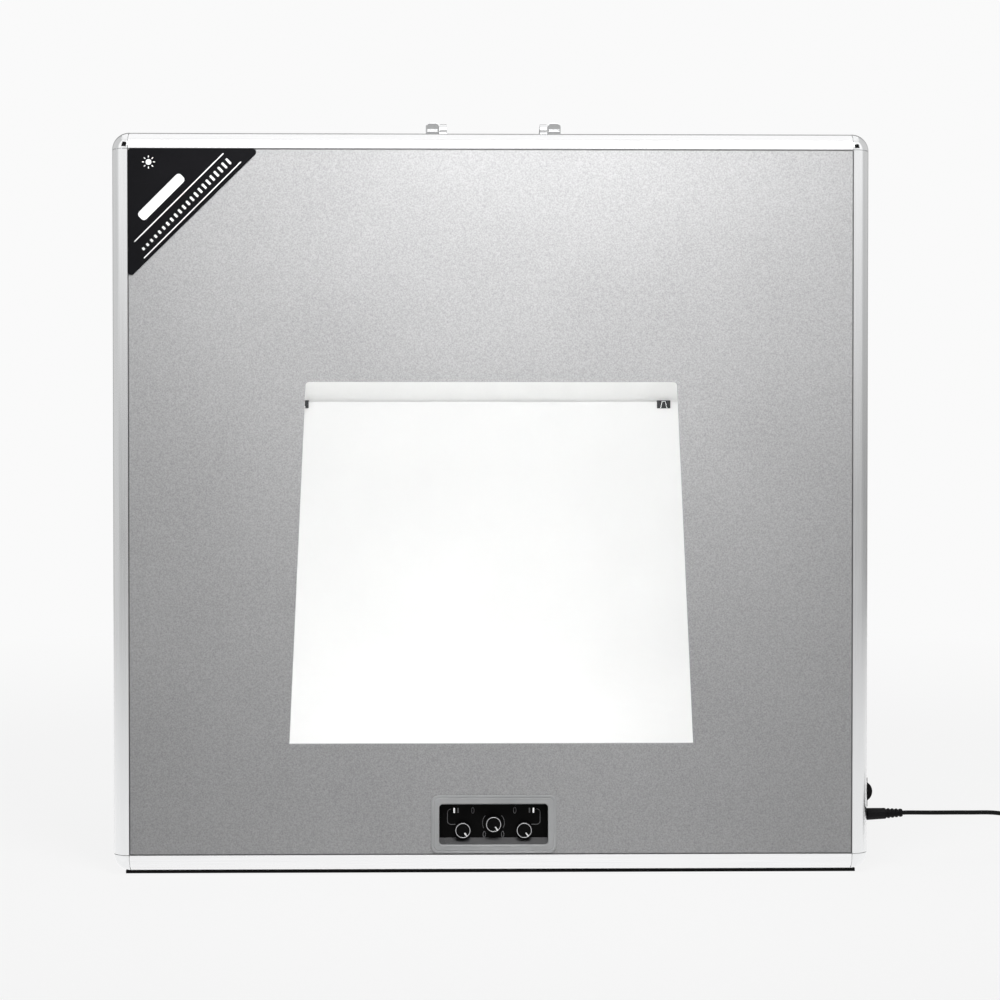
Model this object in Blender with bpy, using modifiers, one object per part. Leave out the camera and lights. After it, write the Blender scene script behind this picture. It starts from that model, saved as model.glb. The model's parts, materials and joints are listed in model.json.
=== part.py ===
"""Light tent cube: a photo tent that opens out of a flat case.

Two shallow shells stand one behind the other, joined at each side by a pair of hinged leaves that fold
inwards. Sheets close the top and the floor between the shells. The front shell holds the window, the light
modules and the dimmer controls, and the rear shell holds a white backdrop on a clip rail.

Metres, X to the right, Y to the rear, Z up. The origin is on the floor, under the middle of the case.
"""

import math

import bmesh
import bpy
import numpy as np
from mathutils import Matrix, Vector

OBJECT_NAME = "light_tent_cube"

# The open case
CASE_WIDTH = 0.6544
CASE_HEIGHT = 0.638
CASE_DEPTH = 0.600
SHELL_DEPTH = 0.065
EDGE_RADIUS = 0.015
GAP = 0.0003
OVERRUN = 0.002
OVERLAP = 0.001
WELD_DISTANCE = 0.00001

# Rails around each shell
RAIL_WALL = 0.002
RAIL_LIP = 0.012
RAIL_LIP_WALL = 0.0015
RIM_LIP = 0.006
EDGE_STEPS = 6

# Foot strips
FOOT_HEIGHT = 0.003
FOOT_MARGIN = 0.0100
FOOT_WIDTH = 0.040

# Panels
PANEL_SETBACK = 0.0008
PANEL_THICKNESS = 0.004
WINDOW_BOTTOM = 0.111
WINDOW_TOP = 0.423
WINDOW_BOTTOM_WIDTH = 0.349
WINDOW_TOP_WIDTH = 0.320
WINDOW_CORNER_RADIUS = 0.003
LABEL_WIDTH = 0.1145
LABEL_HEIGHT = 0.1125
LABEL_THICKNESS = 0.0008
LABEL_CORNER_RADIUS = 0.003

# Side leaves and their hinges
LEAF_THICKNESS = 0.006
LEAF_INSET = 0.012
LEAF_END_CLEARANCE = 0.0004
LEAF_SETBACK = 0.004
CLOSED_GAP = 0.001
HINGE_OFFSET = 0.0005
KNUCKLE_RADIUS = 0.0035
KNUCKLE_CLEARANCE = 0.0004
KNUCKLE_MARGIN = 0.015
KNUCKLE_COUNT = 5
KNUCKLE_STEPS = 10
PIN_RADIUS = 0.0015
BORE_CLEARANCE = 0.0003
WEB_WALL = 0.0025
WEB_REACH = 0.022

# Top and floor sheets
SHEET_THICKNESS = 0.0015
SHEET_INSET = 0.0055
HEM_HEIGHT = 0.023

# Control panel
BEZEL_OFFSET = 0.0017
BEZEL_HEIGHT_CENTRE = 0.0413
BEZEL_WIDTH = 0.108
BEZEL_HEIGHT = 0.050
BEZEL_THICKNESS = 0.001
BEZEL_CORNER_RADIUS = 0.006
RECESS_WIDTH = 0.094
RECESS_HEIGHT = 0.035
RECESS_DEPTH = 0.0102
RECESS_SLOPE = 0.0043
RECESS_CORNER_RADIUS = 0.003
TRAY_WALL = 0.002
KNOB_RADIUS = 0.0067
KNOB_LENGTH = 0.0088
KNOB_TAPER = 0.0005
KNOB_SHAFT_RADIUS = 0.0025
KNOB_SHAFT_REACH = 0.0025
KNOB_SIDE_SPACING = 0.0265
KNOB_MIDDLE_HEIGHT = 0.0408
KNOB_SIDE_HEIGHT = 0.0356
KNOB_POINTER_WIDTH = 0.0009
KNOB_POINTER_LENGTH = 0.0042
KNOB_POINTER_DEPTH = 0.0005
KNOB_POINTER_ANGLE = math.radians(-55)
POT_RADIUS = 0.007
POT_LENGTH = 0.007
POT_BORE_DEPTH = 0.0035
BOARD_THICKNESS = 0.0016
COVER_WIDTH = 0.130
COVER_LOW = 0.0173
COVER_HEIGHT = 0.050
COVER_DEPTH = 0.026
COVER_WALL = 0.0015

# Light modules
MODULE_MARGIN = 0.008
MODULE_RAIL_MARGIN = 0.001
MODULE_DEPTH = 0.020
MODULE_WALL = 0.0015
MODULE_BOARD_MARGIN = 0.004

# Power switch and supply socket in the right side
SIDE_FITTING_DEPTH = 0.027
ROCKER_CENTRE_HEIGHT = 0.0655
ROCKER_PIVOT_INSET = 0.0015
ROCKER_RADIUS = 0.0088
ROCKER_OUTREACH = 0.0080
ROCKER_FOOT_REACH = 0.005
ROCKER_FOOT_HALF = 0.003
ROCKER_THICKNESS = 0.0094
ROCKER_REST_TILT = math.radians(6)
ROCKER_STEPS = 14
ROCKER_TRUNNION_RADIUS = 0.001
ROCKER_TRUNNION_LENGTH = 0.0009
SWITCH_CLEARANCE = 0.0004
SWITCH_WALL = 0.0016
SWITCH_FLANGE = 0.0018
SWITCH_FLANGE_THICKNESS = 0.0012
SWITCH_LENGTH = 0.020
SWITCH_CAVITY_DEPTH = 0.0068
SOCKET_HEIGHT = 0.0450
SOCKET_FLANGE_RADIUS = 0.006
SOCKET_FLANGE_THICKNESS = 0.001
SOCKET_RADIUS = 0.0045
SOCKET_LENGTH = 0.018
SOCKET_BORE_DEPTH = 0.013
LOOM_RADIUS = 0.0025
LOOM_START_HEIGHT = 0.0428
LOOM_START_DEPTH = 0.020

# Carrying handle on the front shell
HANDLE_OFFSET = 0.0020
HANDLE_SPACING = 0.1067
HANDLE_DEPTH = 0.0465
BRACKET_WIDTH = 0.012
BRACKET_HEIGHT = 0.0134
BRACKET_DEPTH = 0.011
BRACKET_CORNER_RADIUS = 0.0035
BRACKET_SLOT_DROP = 0.0055
BRACKET_SLOT_HEIGHT = 0.0013
BRACKET_SLOT_DEPTH = 0.0015
BRACKET_SLOT_MARGIN = 0.0015
HUB_RADIUS = 0.0064
HUB_WIDTH = 0.006
HANDLE_PIN_RADIUS = 0.002
HANDLE_PIN_LENGTH = 0.007
HANDLE_REACH = 0.040
GRIP_DEPTH = 0.018
GRIP_THICKNESS = 0.008
GRIP_ROUNDING = 0.003

# Latches on the rear shell, with keepers on the front shell
LATCH_SPACING = 0.400
LATCH_WIDTH = 0.020
LATCH_LENGTH = 0.030
LATCH_THICKNESS = 0.0025
LATCH_AXIS_HEIGHT = 0.0045
LATCH_AXIS_DEPTH = 0.010
LATCH_BARREL_RADIUS = 0.003
LATCH_PLATE_THICKNESS = 0.0026
LATCH_EAR_WALL = 0.0025
LATCH_EAR_REACH = 0.008
KEEPER_WIDTH = 0.018
KEEPER_LENGTH = 0.010
KEEPER_HEIGHT = 0.0028
KEEPER_SETBACK = 0.007

# Backdrop on its rail
BACKDROP_WIDTH = 0.570
BACKDROP_THICKNESS = 0.0015
BACKDROP_TOP = 0.423
BACKDROP_SWEEP_RADIUS = 0.150
BACKDROP_FRONT_DEPTH = 0.075
HANG_DEPTH = 0.014
HANG_BAR_HEIGHT = 0.016
HANG_BAR_THICKNESS = 0.0025
CLIP_WIDTH = 0.015
CLIP_HEIGHT = 0.009
CLIP_WALL = 0.0015
CLIP_SPACING = 0.408
CLIP_OFFSET = -0.002

# Supply lead, with its plug, coil and adapter
LEAD_RADIUS = 0.0019
PLUG_RADIUS = 0.00525
PLUG_BODY_LENGTH = 0.0180
PLUG_SHOULDER = 0.002
PLUG_RELIEF_LENGTH = 0.0140
PLUG_RELIEF_RADIUS = 0.0044
PLUG_END_RADIUS = 0.0036
PLUG_GROOVE = 0.0006
PLUG_RIDGES = 4
PLUG_TILT = math.radians(2)
LEAD_ROUTE_SHARES = ((0.12, 1.0), (0.26, 1.0), (0.38, 0.985), (0.56, 0.80), (0.74, 0.34), (0.89, 0.05))
PLUG_BARREL_RADIUS = 0.0026
PLUG_BARREL_LENGTH = 0.0105
COIL_X = 0.590
COIL_TURN_RADIUS = 0.0212
COIL_LAYER_TURNS = 4
COIL_LAYERS = 2
COIL_CLIMB_TURNS = 0.5
COIL_EXIT_TURNS = 3.75
COIL_PITCH = 0.0044
COIL_LAYER_HEIGHT = 0.0043
COIL_FLOOR_CLEARANCE = 0.0003
COIL_LOOP_POINTS = 24
ADAPTER_WIDTH = 0.042
ADAPTER_LENGTH = 0.062
ADAPTER_HEIGHT = 0.030
ADAPTER_ROUNDING = 0.003
ADAPTER_DISTANCE = 0.062
GLAND_RADIUS = 0.004
GLAND_LENGTH = 0.008
BLADE_SPACING = 0.0127
BLADE_WIDTH = 0.0063
BLADE_THICKNESS = 0.0015
BLADE_LENGTH = 0.016

# Places worked out from the sizes above
CASE_BOTTOM = FOOT_HEIGHT
CASE_TOP = FOOT_HEIGHT + CASE_HEIGHT
CASE_MIDDLE = FOOT_HEIGHT + CASE_HEIGHT / 2
HALF_WIDTH = CASE_WIDTH / 2
PANEL_BACK = PANEL_SETBACK + PANEL_THICKNESS
LIP_FRONT = PANEL_BACK + GAP
LIP_BACK = LIP_FRONT + RAIL_LIP_WALL
LIP_REACH = EDGE_RADIUS + RAIL_LIP
LEAF_STACK = 2 * (LEAF_THICKNESS + 2 * HINGE_OFFSET)
HINGE_DEPTH = SHELL_DEPTH - (LEAF_STACK - CLOSED_GAP) / 2
LEAF_REACH = CASE_DEPTH / 2 - HINGE_DEPTH
LEAF_BOTTOM = CASE_BOTTOM + EDGE_RADIUS + LEAF_END_CLEARANCE
LEAF_TOP = CASE_TOP - EDGE_RADIUS - LEAF_END_CLEARANCE
SHELL_HINGE_X = HALF_WIDTH - LEAF_INSET - LEAF_THICKNESS - HINGE_OFFSET
MIDDLE_HINGE_X = HALF_WIDTH - LEAF_INSET + HINGE_OFFSET
WEB_BACK = HINGE_DEPTH - KNUCKLE_RADIUS - KNUCKLE_CLEARANCE
WEB_FRONT = WEB_BACK - WEB_WALL
KNUCKLE_BOTTOM = LEAF_BOTTOM + KNUCKLE_MARGIN
KNUCKLE_PITCH = (LEAF_TOP - LEAF_BOTTOM - 2 * KNUCKLE_MARGIN) / KNUCKLE_COUNT
CONTROL_HEIGHT = CASE_BOTTOM + BEZEL_HEIGHT_CENTRE
TRAY_FRONT = PANEL_SETBACK
TRAY_BACK = TRAY_FRONT + RECESS_DEPTH + TRAY_WALL
POT_FRONT = TRAY_BACK + GAP
BOARD_FRONT = POT_FRONT + POT_LENGTH
FITTING_Y = SIDE_FITTING_DEPTH - CASE_DEPTH / 2
ROCKER_X = HALF_WIDTH - ROCKER_PIVOT_INSET
ROCKER_Z = CASE_BOTTOM + ROCKER_CENTRE_HEIGHT
SOCKET_Z = CASE_BOTTOM + SOCKET_HEIGHT
SOCKET_BORE_RADIUS = PLUG_BARREL_RADIUS + 2 * BORE_CLEARANCE
HANDLE_AXIS_Y = HANDLE_DEPTH - CASE_DEPTH / 2
HANDLE_AXIS_Z = CASE_TOP + GAP + HUB_RADIUS
LATCH_AXIS_Y = CASE_DEPTH / 2 - SHELL_DEPTH + LATCH_AXIS_DEPTH
LATCH_AXIS_Z = CASE_TOP + LATCH_AXIS_HEIGHT
BACKDROP_TOP_Z = CASE_BOTTOM + BACKDROP_TOP
PLUG_X = HALF_WIDTH + SOCKET_FLANGE_THICKNESS + 2 * GAP
PLUG_LENGTH = PLUG_BODY_LENGTH + PLUG_RELIEF_LENGTH

FRONT, REAR = 1, -1
LEFT, RIGHT = -1, 1


def clear_scene():
    """Remove whatever the opened file holds."""
    for item in list(bpy.data.objects):
        bpy.data.objects.remove(item, do_unlink=True)
    for group in list(bpy.data.collections):
        bpy.data.collections.remove(group)


def new_collection(name):
    group = bpy.data.collections.new(name)
    bpy.context.scene.collection.children.link(group)
    return group


clear_scene()
PARTS = new_collection(OBJECT_NAME)
CUTTERS = new_collection("cutters")


def make_material(name, colour, roughness, metallic=0.0):
    """A Principled material with a plain colour."""
    made = bpy.data.materials.new(name)
    made.use_nodes = True
    shader = made.node_tree.nodes["Principled BSDF"]
    shader.inputs["Base Color"].default_value = (*colour, 1.0)
    shader.inputs["Roughness"].default_value = roughness
    shader.inputs["Metallic"].default_value = metallic
    made.diffuse_color = (*colour, 1.0)
    return made


SILVER_LAMINATE = make_material("silver_laminate", (0.56, 0.57, 0.58), 0.45, 0.3)
ALUMINIUM = make_material("aluminium", (0.80, 0.81, 0.82), 0.30, 1.0)
CHROME = make_material("chrome", (0.86, 0.87, 0.88), 0.12, 1.0)
BLACK_RUBBER = make_material("black_rubber", (0.02, 0.02, 0.02), 0.75)
BLACK_VINYL = make_material("black_vinyl", (0.015, 0.015, 0.015), 0.55)
GREY_PLASTIC = make_material("grey_plastic", (0.48, 0.49, 0.50), 0.45)
BLACK_PLASTIC = make_material("black_plastic", (0.02, 0.02, 0.022), 0.40)
CIRCUIT_BOARD = make_material("circuit_board", (0.03, 0.16, 0.07), 0.50)
WHITE_BOARD = make_material("white_board", (0.85, 0.86, 0.86), 0.40, 0.4)
OPAL_PLASTIC = make_material("opal_plastic", (0.92, 0.92, 0.90), 0.35)
WHITE_BOARDING = make_material("white_boarding", (0.86, 0.86, 0.85), 0.55)
WHITE_FABRIC = make_material("white_fabric", (0.90, 0.90, 0.89), 0.85)
BLACK_STEEL = make_material("black_steel", (0.025, 0.025, 0.028), 0.35, 0.6)
CABLE_SHEATH = make_material("cable_sheath", (0.018, 0.018, 0.018), 0.50)


def show_as_part(item, material):
    """Put an object among the parts, with its material."""
    PARTS.objects.link(item)
    item.data.materials.clear()
    item.data.materials.append(material)
    return item


def show_as_tool(item):
    """Put an object among the shapes that Booleans use."""
    CUTTERS.objects.link(item)
    item.hide_render = True
    item.display_type = "WIRE"
    return item


def combine(target, tool, operation):
    show_as_tool(tool)
    step = target.modifiers.new(tool.name, "BOOLEAN")
    step.operation = operation
    step.solver = "EXACT"
    step.object = tool
    return target


def unite(target, *tools):
    for tool in tools:
        combine(target, tool, "UNION")
    return target


def cut(target, *tools):
    for tool in tools:
        combine(target, tool, "DIFFERENCE")
    return target


def smooth(item):
    """Shade a round piece smooth, with its real edges kept sharp."""
    item.data.shade_smooth()
    item.data.set_sharp_from_angle(angle=math.radians(40))
    return item


def from_bmesh(name, made, matrix):
    mesh = bpy.data.meshes.new(name)
    bmesh.ops.recalc_face_normals(made, faces=made.faces)
    made.to_mesh(mesh)
    made.free()
    item = bpy.data.objects.new(name, mesh)
    item.matrix_world = matrix
    return item


def box(name, low, high, origin=None):
    """A block between two corners. Its origin is its centre, unless another is given."""
    low, high = Vector(low), Vector(high)
    centre = (low + high) / 2
    origin = centre if origin is None else Vector(origin)
    size = Matrix.Diagonal((*(high - low), 1))
    made = bmesh.new()
    bmesh.ops.create_cube(made, size=1, matrix=Matrix.Translation(centre - origin) @ size)
    return from_bmesh(name, made, Matrix.Translation(origin))


def rod(name, start, end, radius, sides=16, origin=None):
    """A round bar between two points."""
    start, end = Vector(start), Vector(end)
    centre = (start + end) / 2
    origin = centre if origin is None else Vector(origin)
    along = (end - start).to_track_quat("Z", "Y").to_matrix().to_4x4()
    made = bmesh.new()
    bmesh.ops.create_cone(made, cap_ends=True, segments=sides, radius1=radius, radius2=radius,
                          depth=(end - start).length, matrix=Matrix.Translation(centre - origin) @ along)
    return from_bmesh(name, made, Matrix.Translation(origin))


def placed(origin, across, along):
    """The matrix of a drawing plane, from its origin and the directions of its two axes."""
    across, along = Vector(across), Vector(along)
    turn = Matrix((across, along, across.cross(along))).transposed()
    return Matrix.Translation(Vector(origin)) @ turn.to_4x4()


def mesh_of_curve(item):
    """Turn a curve object into a mesh object with its caps welded on."""
    bpy.context.scene.collection.objects.link(item)
    bpy.context.view_layer.update()
    evaluated = item.evaluated_get(bpy.context.evaluated_depsgraph_get())
    made = bmesh.new()
    made.from_mesh(bpy.data.meshes.new_from_object(evaluated))
    bmesh.ops.remove_doubles(made, verts=made.verts, dist=WELD_DISTANCE)
    name, matrix = item.name, item.matrix_world.copy()
    bpy.data.objects.remove(item, do_unlink=True)
    return from_bmesh(name, made, matrix)


def prism(name, loops, thickness, matrix):
    """A flat outline, with any holes, made solid to both sides of its drawing plane."""
    curve = bpy.data.curves.new(name, "CURVE")
    curve.dimensions = "2D"
    curve.fill_mode = "BOTH"
    curve.extrude = thickness / 2
    for loop in loops:
        spline = curve.splines.new("POLY")
        spline.points.add(len(loop) - 1)
        for point, (x, y) in zip(spline.points, loop):
            point.co = (x, y, 0, 1)
        spline.use_cyclic_u = True
    item = bpy.data.objects.new(name, curve)
    item.matrix_world = matrix
    return mesh_of_curve(item)


def turned(name, profile, matrix, steps=24):
    """A turned solid about local Z, from (radius, height) points that run from the top down."""
    mesh = bpy.data.meshes.new(name)
    points = [(radius, 0, height) for radius, height in profile]
    mesh.from_pydata(points, [(i, i + 1) for i in range(len(points) - 1)], [])
    item = bpy.data.objects.new(name, mesh)
    item.matrix_world = matrix
    step = item.modifiers.new("turning", "SCREW")
    step.steps = steps
    step.render_steps = steps
    step.use_merge_vertices = True
    step.merge_threshold = WELD_DISTANCE
    return item


def tube(name, points, radius, resolution):
    """A round cord along a row of points."""
    curve = bpy.data.curves.new(name, "CURVE")
    curve.dimensions = "3D"
    curve.bevel_depth = radius
    curve.bevel_resolution = resolution
    curve.use_fill_caps = True
    spline = curve.splines.new("POLY")
    spline.points.add(len(points) - 1)
    for point, place in zip(spline.points, points):
        point.co = (*place, 1)
    return bpy.data.objects.new(name, curve)


def arc(centre, radius, start, end, steps):
    """Points along an arc, both ends included, with angles in radians."""
    turns = [start + (end - start) * i / steps for i in range(steps + 1)]
    return [(centre[0] + radius * math.cos(a), centre[1] + radius * math.sin(a)) for a in turns]


def filleted(corners, radius, steps=4, sharp=()):
    """A polygon whose corners are rounded, except those listed as sharp."""
    points = []
    for i, corner in enumerate(corners):
        here = Vector(corner)
        before = (Vector(corners[i - 1]) - here).normalized()
        after = (Vector(corners[(i + 1) % len(corners)]) - here).normalized()
        if i in sharp:
            points.append(tuple(here))
            continue
        half = before.angle(after) / 2
        centre = here + (before + after).normalized() * radius / math.sin(half)
        first = here + before * radius / math.tan(half) - centre
        last = here + after * radius / math.tan(half) - centre
        for k in range(steps + 1):
            share = k / steps
            spoke = (first * math.sin((1 - share) * (math.pi - 2 * half))
                     + last * math.sin(share * (math.pi - 2 * half)))
            points.append(tuple(centre + spoke.normalized() * radius))
    return points


def rectangle(centre, width, height):
    (x, y), half_width, half_height = centre, width / 2, height / 2
    return [(x - half_width, y - half_height), (x + half_width, y - half_height),
            (x + half_width, y + half_height), (x - half_width, y + half_height)]


def depth_y(depth, shell=FRONT):
    """World Y of a depth measured into a shell from its outer face."""
    return shell * (depth - CASE_DEPTH / 2)


def face_plane(shell, depth):
    """A drawing plane parallel to the case's face, at a depth: X is to the right and Y is up."""
    return placed((0, depth_y(depth, shell), 0), (1, 0, 0), (0, 0, 1))


def side_plane(x=0.0, y=0.0, z=0.0):
    """A drawing plane seen from the side: X runs to the rear and Y is up."""
    return placed((x, y, z), (0, 1, 0), (0, 0, 1))


def rail_outline(has_web):
    """A rail's section: inwards from the case's side, then back from its face."""
    radius, inner = EDGE_RADIUS, EDGE_RADIUS - RAIL_WALL
    rim_front = SHELL_DEPTH - RAIL_WALL
    points = arc((radius, radius), radius, -math.pi / 2, -math.pi, EDGE_STEPS)
    points += [(0, SHELL_DEPTH), (RIM_LIP, SHELL_DEPTH), (RIM_LIP, rim_front), (RAIL_WALL, rim_front)]
    if has_web:
        points += [(RAIL_WALL, WEB_BACK), (WEB_REACH, WEB_BACK)]
        points += [(WEB_REACH, WEB_FRONT), (RAIL_WALL, WEB_FRONT)]
    turn = -math.pi / 2 - math.asin(RAIL_WALL / inner)
    points += arc((radius, radius), inner, -math.pi, turn, EDGE_STEPS)
    points += [(inner, LIP_BACK), (LIP_REACH, LIP_BACK), (LIP_REACH, LIP_FRONT), (radius, LIP_FRONT)]
    return points


def knuckle_outline(reach):
    """A hinge knuckle around the origin, with the tab that joins it to its leaf."""
    turn = math.acos(HINGE_OFFSET / KNUCKLE_RADIUS) - 2 * math.pi
    points = arc((0, 0), KNUCKLE_RADIUS, 0, turn, KNUCKLE_STEPS)
    return points + [(HINGE_OFFSET, reach), (KNUCKLE_RADIUS, reach)]


def knuckles(name, x, y, outward, towards, reach, first):
    """Every second knuckle of a hinge, from the first or the second one up, as one set of solids."""
    made = bmesh.new()
    for i in range(first, KNUCKLE_COUNT, 2):
        middle = KNUCKLE_BOTTOM + (i + 1 / 2) * KNUCKLE_PITCH
        item = prism(name, [knuckle_outline(reach)], KNUCKLE_PITCH - GAP,
                     placed((x, y, middle), (outward, 0, 0), (0, towards, 0)))
        mesh = item.data.copy()
        mesh.transform(item.matrix_world)
        made.from_mesh(mesh)
        bpy.data.objects.remove(item)
    return from_bmesh(name, made, Matrix.Identity(4))


def hinge_line(name, x, y, radius):
    """A bar along a vertical hinge axis, as a pin or as the cutter of its bore."""
    top = KNUCKLE_BOTTOM + KNUCKLE_COUNT * KNUCKLE_PITCH
    return rod(name, (x, y, KNUCKLE_BOTTOM + GAP), (x, y, top - GAP), radius, sides=12)


def build_horizontal_rail(prefix, shell, place):
    z, inward = (CASE_TOP, -1) if place == "top" else (CASE_BOTTOM, 1)
    length = CASE_WIDTH - 2 * (EDGE_RADIUS + GAP)
    plane = placed((0, depth_y(0, shell), z), (0, 0, inward), (0, shell, 0))
    return show_as_part(prism(f"{prefix}_rail_{place}", [rail_outline(False)], length, plane), ALUMINIUM)


def build_side_rail(prefix, shell, side):
    """A side rail, with its lip trimmed at both ends and its hinge knuckles on the web."""
    place = "left" if side == LEFT else "right"
    name = f"{prefix}_rail_{place}"
    length = CASE_HEIGHT - 2 * (EDGE_RADIUS + GAP)
    corner = (side * HALF_WIDTH, depth_y(0, shell), CASE_MIDDLE)
    plane = placed(corner, (-side, 0, 0), (0, shell, 0))
    rail = show_as_part(prism(name, [rail_outline(True)], length, plane), ALUMINIUM)
    near, far = side * (HALF_WIDTH - EDGE_RADIUS), side * (HALF_WIDTH - LIP_REACH - OVERRUN)
    front, back = depth_y(LIP_FRONT - OVERRUN, shell), depth_y(LIP_BACK + OVERRUN, shell)
    for end, z, up in (("lower", CASE_BOTTOM, 1), ("upper", CASE_TOP, -1)):
        tip = z + up * (EDGE_RADIUS - OVERRUN)
        stop = z + up * (LIP_REACH + GAP)
        cut(rail, box(f"{name}_{end}_trim", (min(near, far), min(front, back), min(tip, stop)),
                      (max(near, far), max(front, back), max(tip, stop))))
    axis_x, axis_y = side * SHELL_HINGE_X, depth_y(HINGE_DEPTH, shell)
    tab = HINGE_DEPTH - WEB_BACK + OVERLAP
    unite(rail, knuckles(f"{name}_knuckles", axis_x, axis_y, side, -shell, tab, 1))
    cut(rail, hinge_line(f"{name}_bore", axis_x, axis_y, PIN_RADIUS + BORE_CLEARANCE))
    return rail


def build_corner(name, shell, side, up):
    """A corner piece: an eighth of a ball on a quarter of a round bar."""
    made = bmesh.new()
    radius = EDGE_RADIUS
    profile = arc((0, radius), radius, -math.pi / 2, 0, EDGE_STEPS)
    profile += [(radius, SHELL_DEPTH), (0, SHELL_DEPTH)]
    made.faces.new([made.verts.new((x, 0, z)) for x, z in profile])
    bmesh.ops.spin(made, geom=made.verts[:] + made.edges[:] + made.faces[:], axis=(0, 0, 1),
                   cent=(0, 0, 0), angle=math.pi / 2, steps=EDGE_STEPS, use_duplicate=False)
    bmesh.ops.remove_doubles(made, verts=made.verts, dist=WELD_DISTANCE)
    z = CASE_TOP - radius if up == 1 else CASE_BOTTOM + radius
    place = Matrix.Translation((side * (HALF_WIDTH - radius), depth_y(0, shell), z))
    turn = Matrix(((side, 0, 0, 0), (0, 0, shell, 0), (0, up, 0, 0), (0, 0, 0, 1)))
    bmesh.ops.transform(made, matrix=turn, verts=made.verts)
    return show_as_part(smooth(from_bmesh(name, made, place)), CHROME)


def build_foot_strip(prefix, shell):
    low, high = depth_y(EDGE_RADIUS, shell), depth_y(EDGE_RADIUS + FOOT_WIDTH, shell)
    reach = HALF_WIDTH - FOOT_MARGIN
    return show_as_part(box(f"{prefix}_foot_strip", (-reach, min(low, high), 0),
                            (reach, max(low, high), FOOT_HEIGHT - GAP)), BLACK_RUBBER)


def panel_outline():
    width = CASE_WIDTH - 2 * (EDGE_RADIUS + GAP)
    height = CASE_HEIGHT - 2 * (EDGE_RADIUS + GAP)
    return rectangle((0, CASE_MIDDLE), width, height)


def window_outline():
    low, high = CASE_BOTTOM + WINDOW_BOTTOM, CASE_BOTTOM + WINDOW_TOP
    corners = [(-WINDOW_BOTTOM_WIDTH / 2, low), (WINDOW_BOTTOM_WIDTH / 2, low),
               (WINDOW_TOP_WIDTH / 2, high), (-WINDOW_TOP_WIDTH / 2, high)]
    return filleted(corners, WINDOW_CORNER_RADIUS, sharp=(0, 1))


def build_shell(prefix, shell):
    """The frame of one shell: rails, corners and foot strip."""
    rails = {place: build_horizontal_rail(prefix, shell, place) for place in ("top", "bottom")}
    rails["left"] = build_side_rail(prefix, shell, LEFT)
    rails["right"] = build_side_rail(prefix, shell, RIGHT)
    for up, level in ((1, "top"), (-1, "bottom")):
        for side, place in ((LEFT, "left"), (RIGHT, "right")):
            build_corner(f"{prefix}_corner_{level}_{place}", shell, side, up)
    build_foot_strip(prefix, shell)
    return rails


def build_panels():
    """The front panel with its window and control opening, its corner label, and the rear panel."""
    middle = PANEL_SETBACK + PANEL_THICKNESS / 2
    opening = rectangle((BEZEL_OFFSET, CONTROL_HEIGHT), RECESS_WIDTH + 2 * (TRAY_WALL + GAP),
                        RECESS_HEIGHT + 2 * (TRAY_WALL + GAP))
    front = prism("front_panel", [panel_outline(), window_outline(), opening], PANEL_THICKNESS,
                  face_plane(FRONT, middle))
    show_as_part(front, SILVER_LAMINATE)
    show_as_part(prism("rear_panel", [panel_outline()], PANEL_THICKNESS, face_plane(REAR, middle)),
                 SILVER_LAMINATE)
    left, top = -HALF_WIDTH + EDGE_RADIUS + GAP, CASE_TOP - EDGE_RADIUS - GAP
    corners = [(left, top), (left, top - LABEL_HEIGHT), (left + LABEL_WIDTH, top)]
    label = prism("corner_label", [filleted(corners, LABEL_CORNER_RADIUS)], LABEL_THICKNESS,
                  face_plane(FRONT, PANEL_SETBACK - GAP - LABEL_THICKNESS / 2))
    show_as_part(label, BLACK_VINYL)


def build_leaf(name, side, shell):
    """One side leaf. The front leaves carry the middle pin, and each leaf the pin of its shell hinge."""
    inner, outer = HALF_WIDTH - LEAF_INSET - LEAF_THICKNESS, HALF_WIDTH - LEAF_INSET
    start = depth_y(HINGE_DEPTH + LEAF_SETBACK, shell)
    end = depth_y(CASE_DEPTH / 2 - LEAF_SETBACK, shell)
    shell_x, middle_x = side * SHELL_HINGE_X, side * MIDDLE_HINGE_X
    shell_y = depth_y(HINGE_DEPTH, shell)
    origin = (shell_x, shell_y, 0) if shell == FRONT else (middle_x, 0, 0)
    leaf = box(name, (min(side * inner, side * outer), min(start, end), LEAF_BOTTOM),
               (max(side * inner, side * outer), max(start, end), LEAF_TOP), origin)
    show_as_part(leaf, WHITE_BOARDING)
    tab = LEAF_SETBACK + OVERLAP
    unite(leaf, knuckles(f"{name}_shell_knuckles", shell_x, shell_y, side, shell, tab, 0),
          hinge_line(f"{name}_shell_pin", shell_x, shell_y, PIN_RADIUS))
    first = 0 if shell == FRONT else 1
    unite(leaf, knuckles(f"{name}_middle_knuckles", middle_x, 0, -side, -shell, tab, first))
    if shell == FRONT:
        unite(leaf, hinge_line(f"{name}_middle_pin", middle_x, 0, PIN_RADIUS))
    else:
        cut(leaf, hinge_line(f"{name}_middle_bore", middle_x, 0, PIN_RADIUS + BORE_CLEARANCE))
    return leaf


def sheet_outline(base, up):
    """A sheet's section across the case: its web at the base height, and a hem down or up each side."""
    outer = HALF_WIDTH - SHEET_INSET
    inner = outer - SHEET_THICKNESS
    web, hem = base + up * SHEET_THICKNESS, base + up * HEM_HEIGHT
    return [(-outer, base), (outer, base), (outer, hem), (inner, hem), (inner, web), (-inner, web),
            (-inner, hem), (-outer, hem)]


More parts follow.
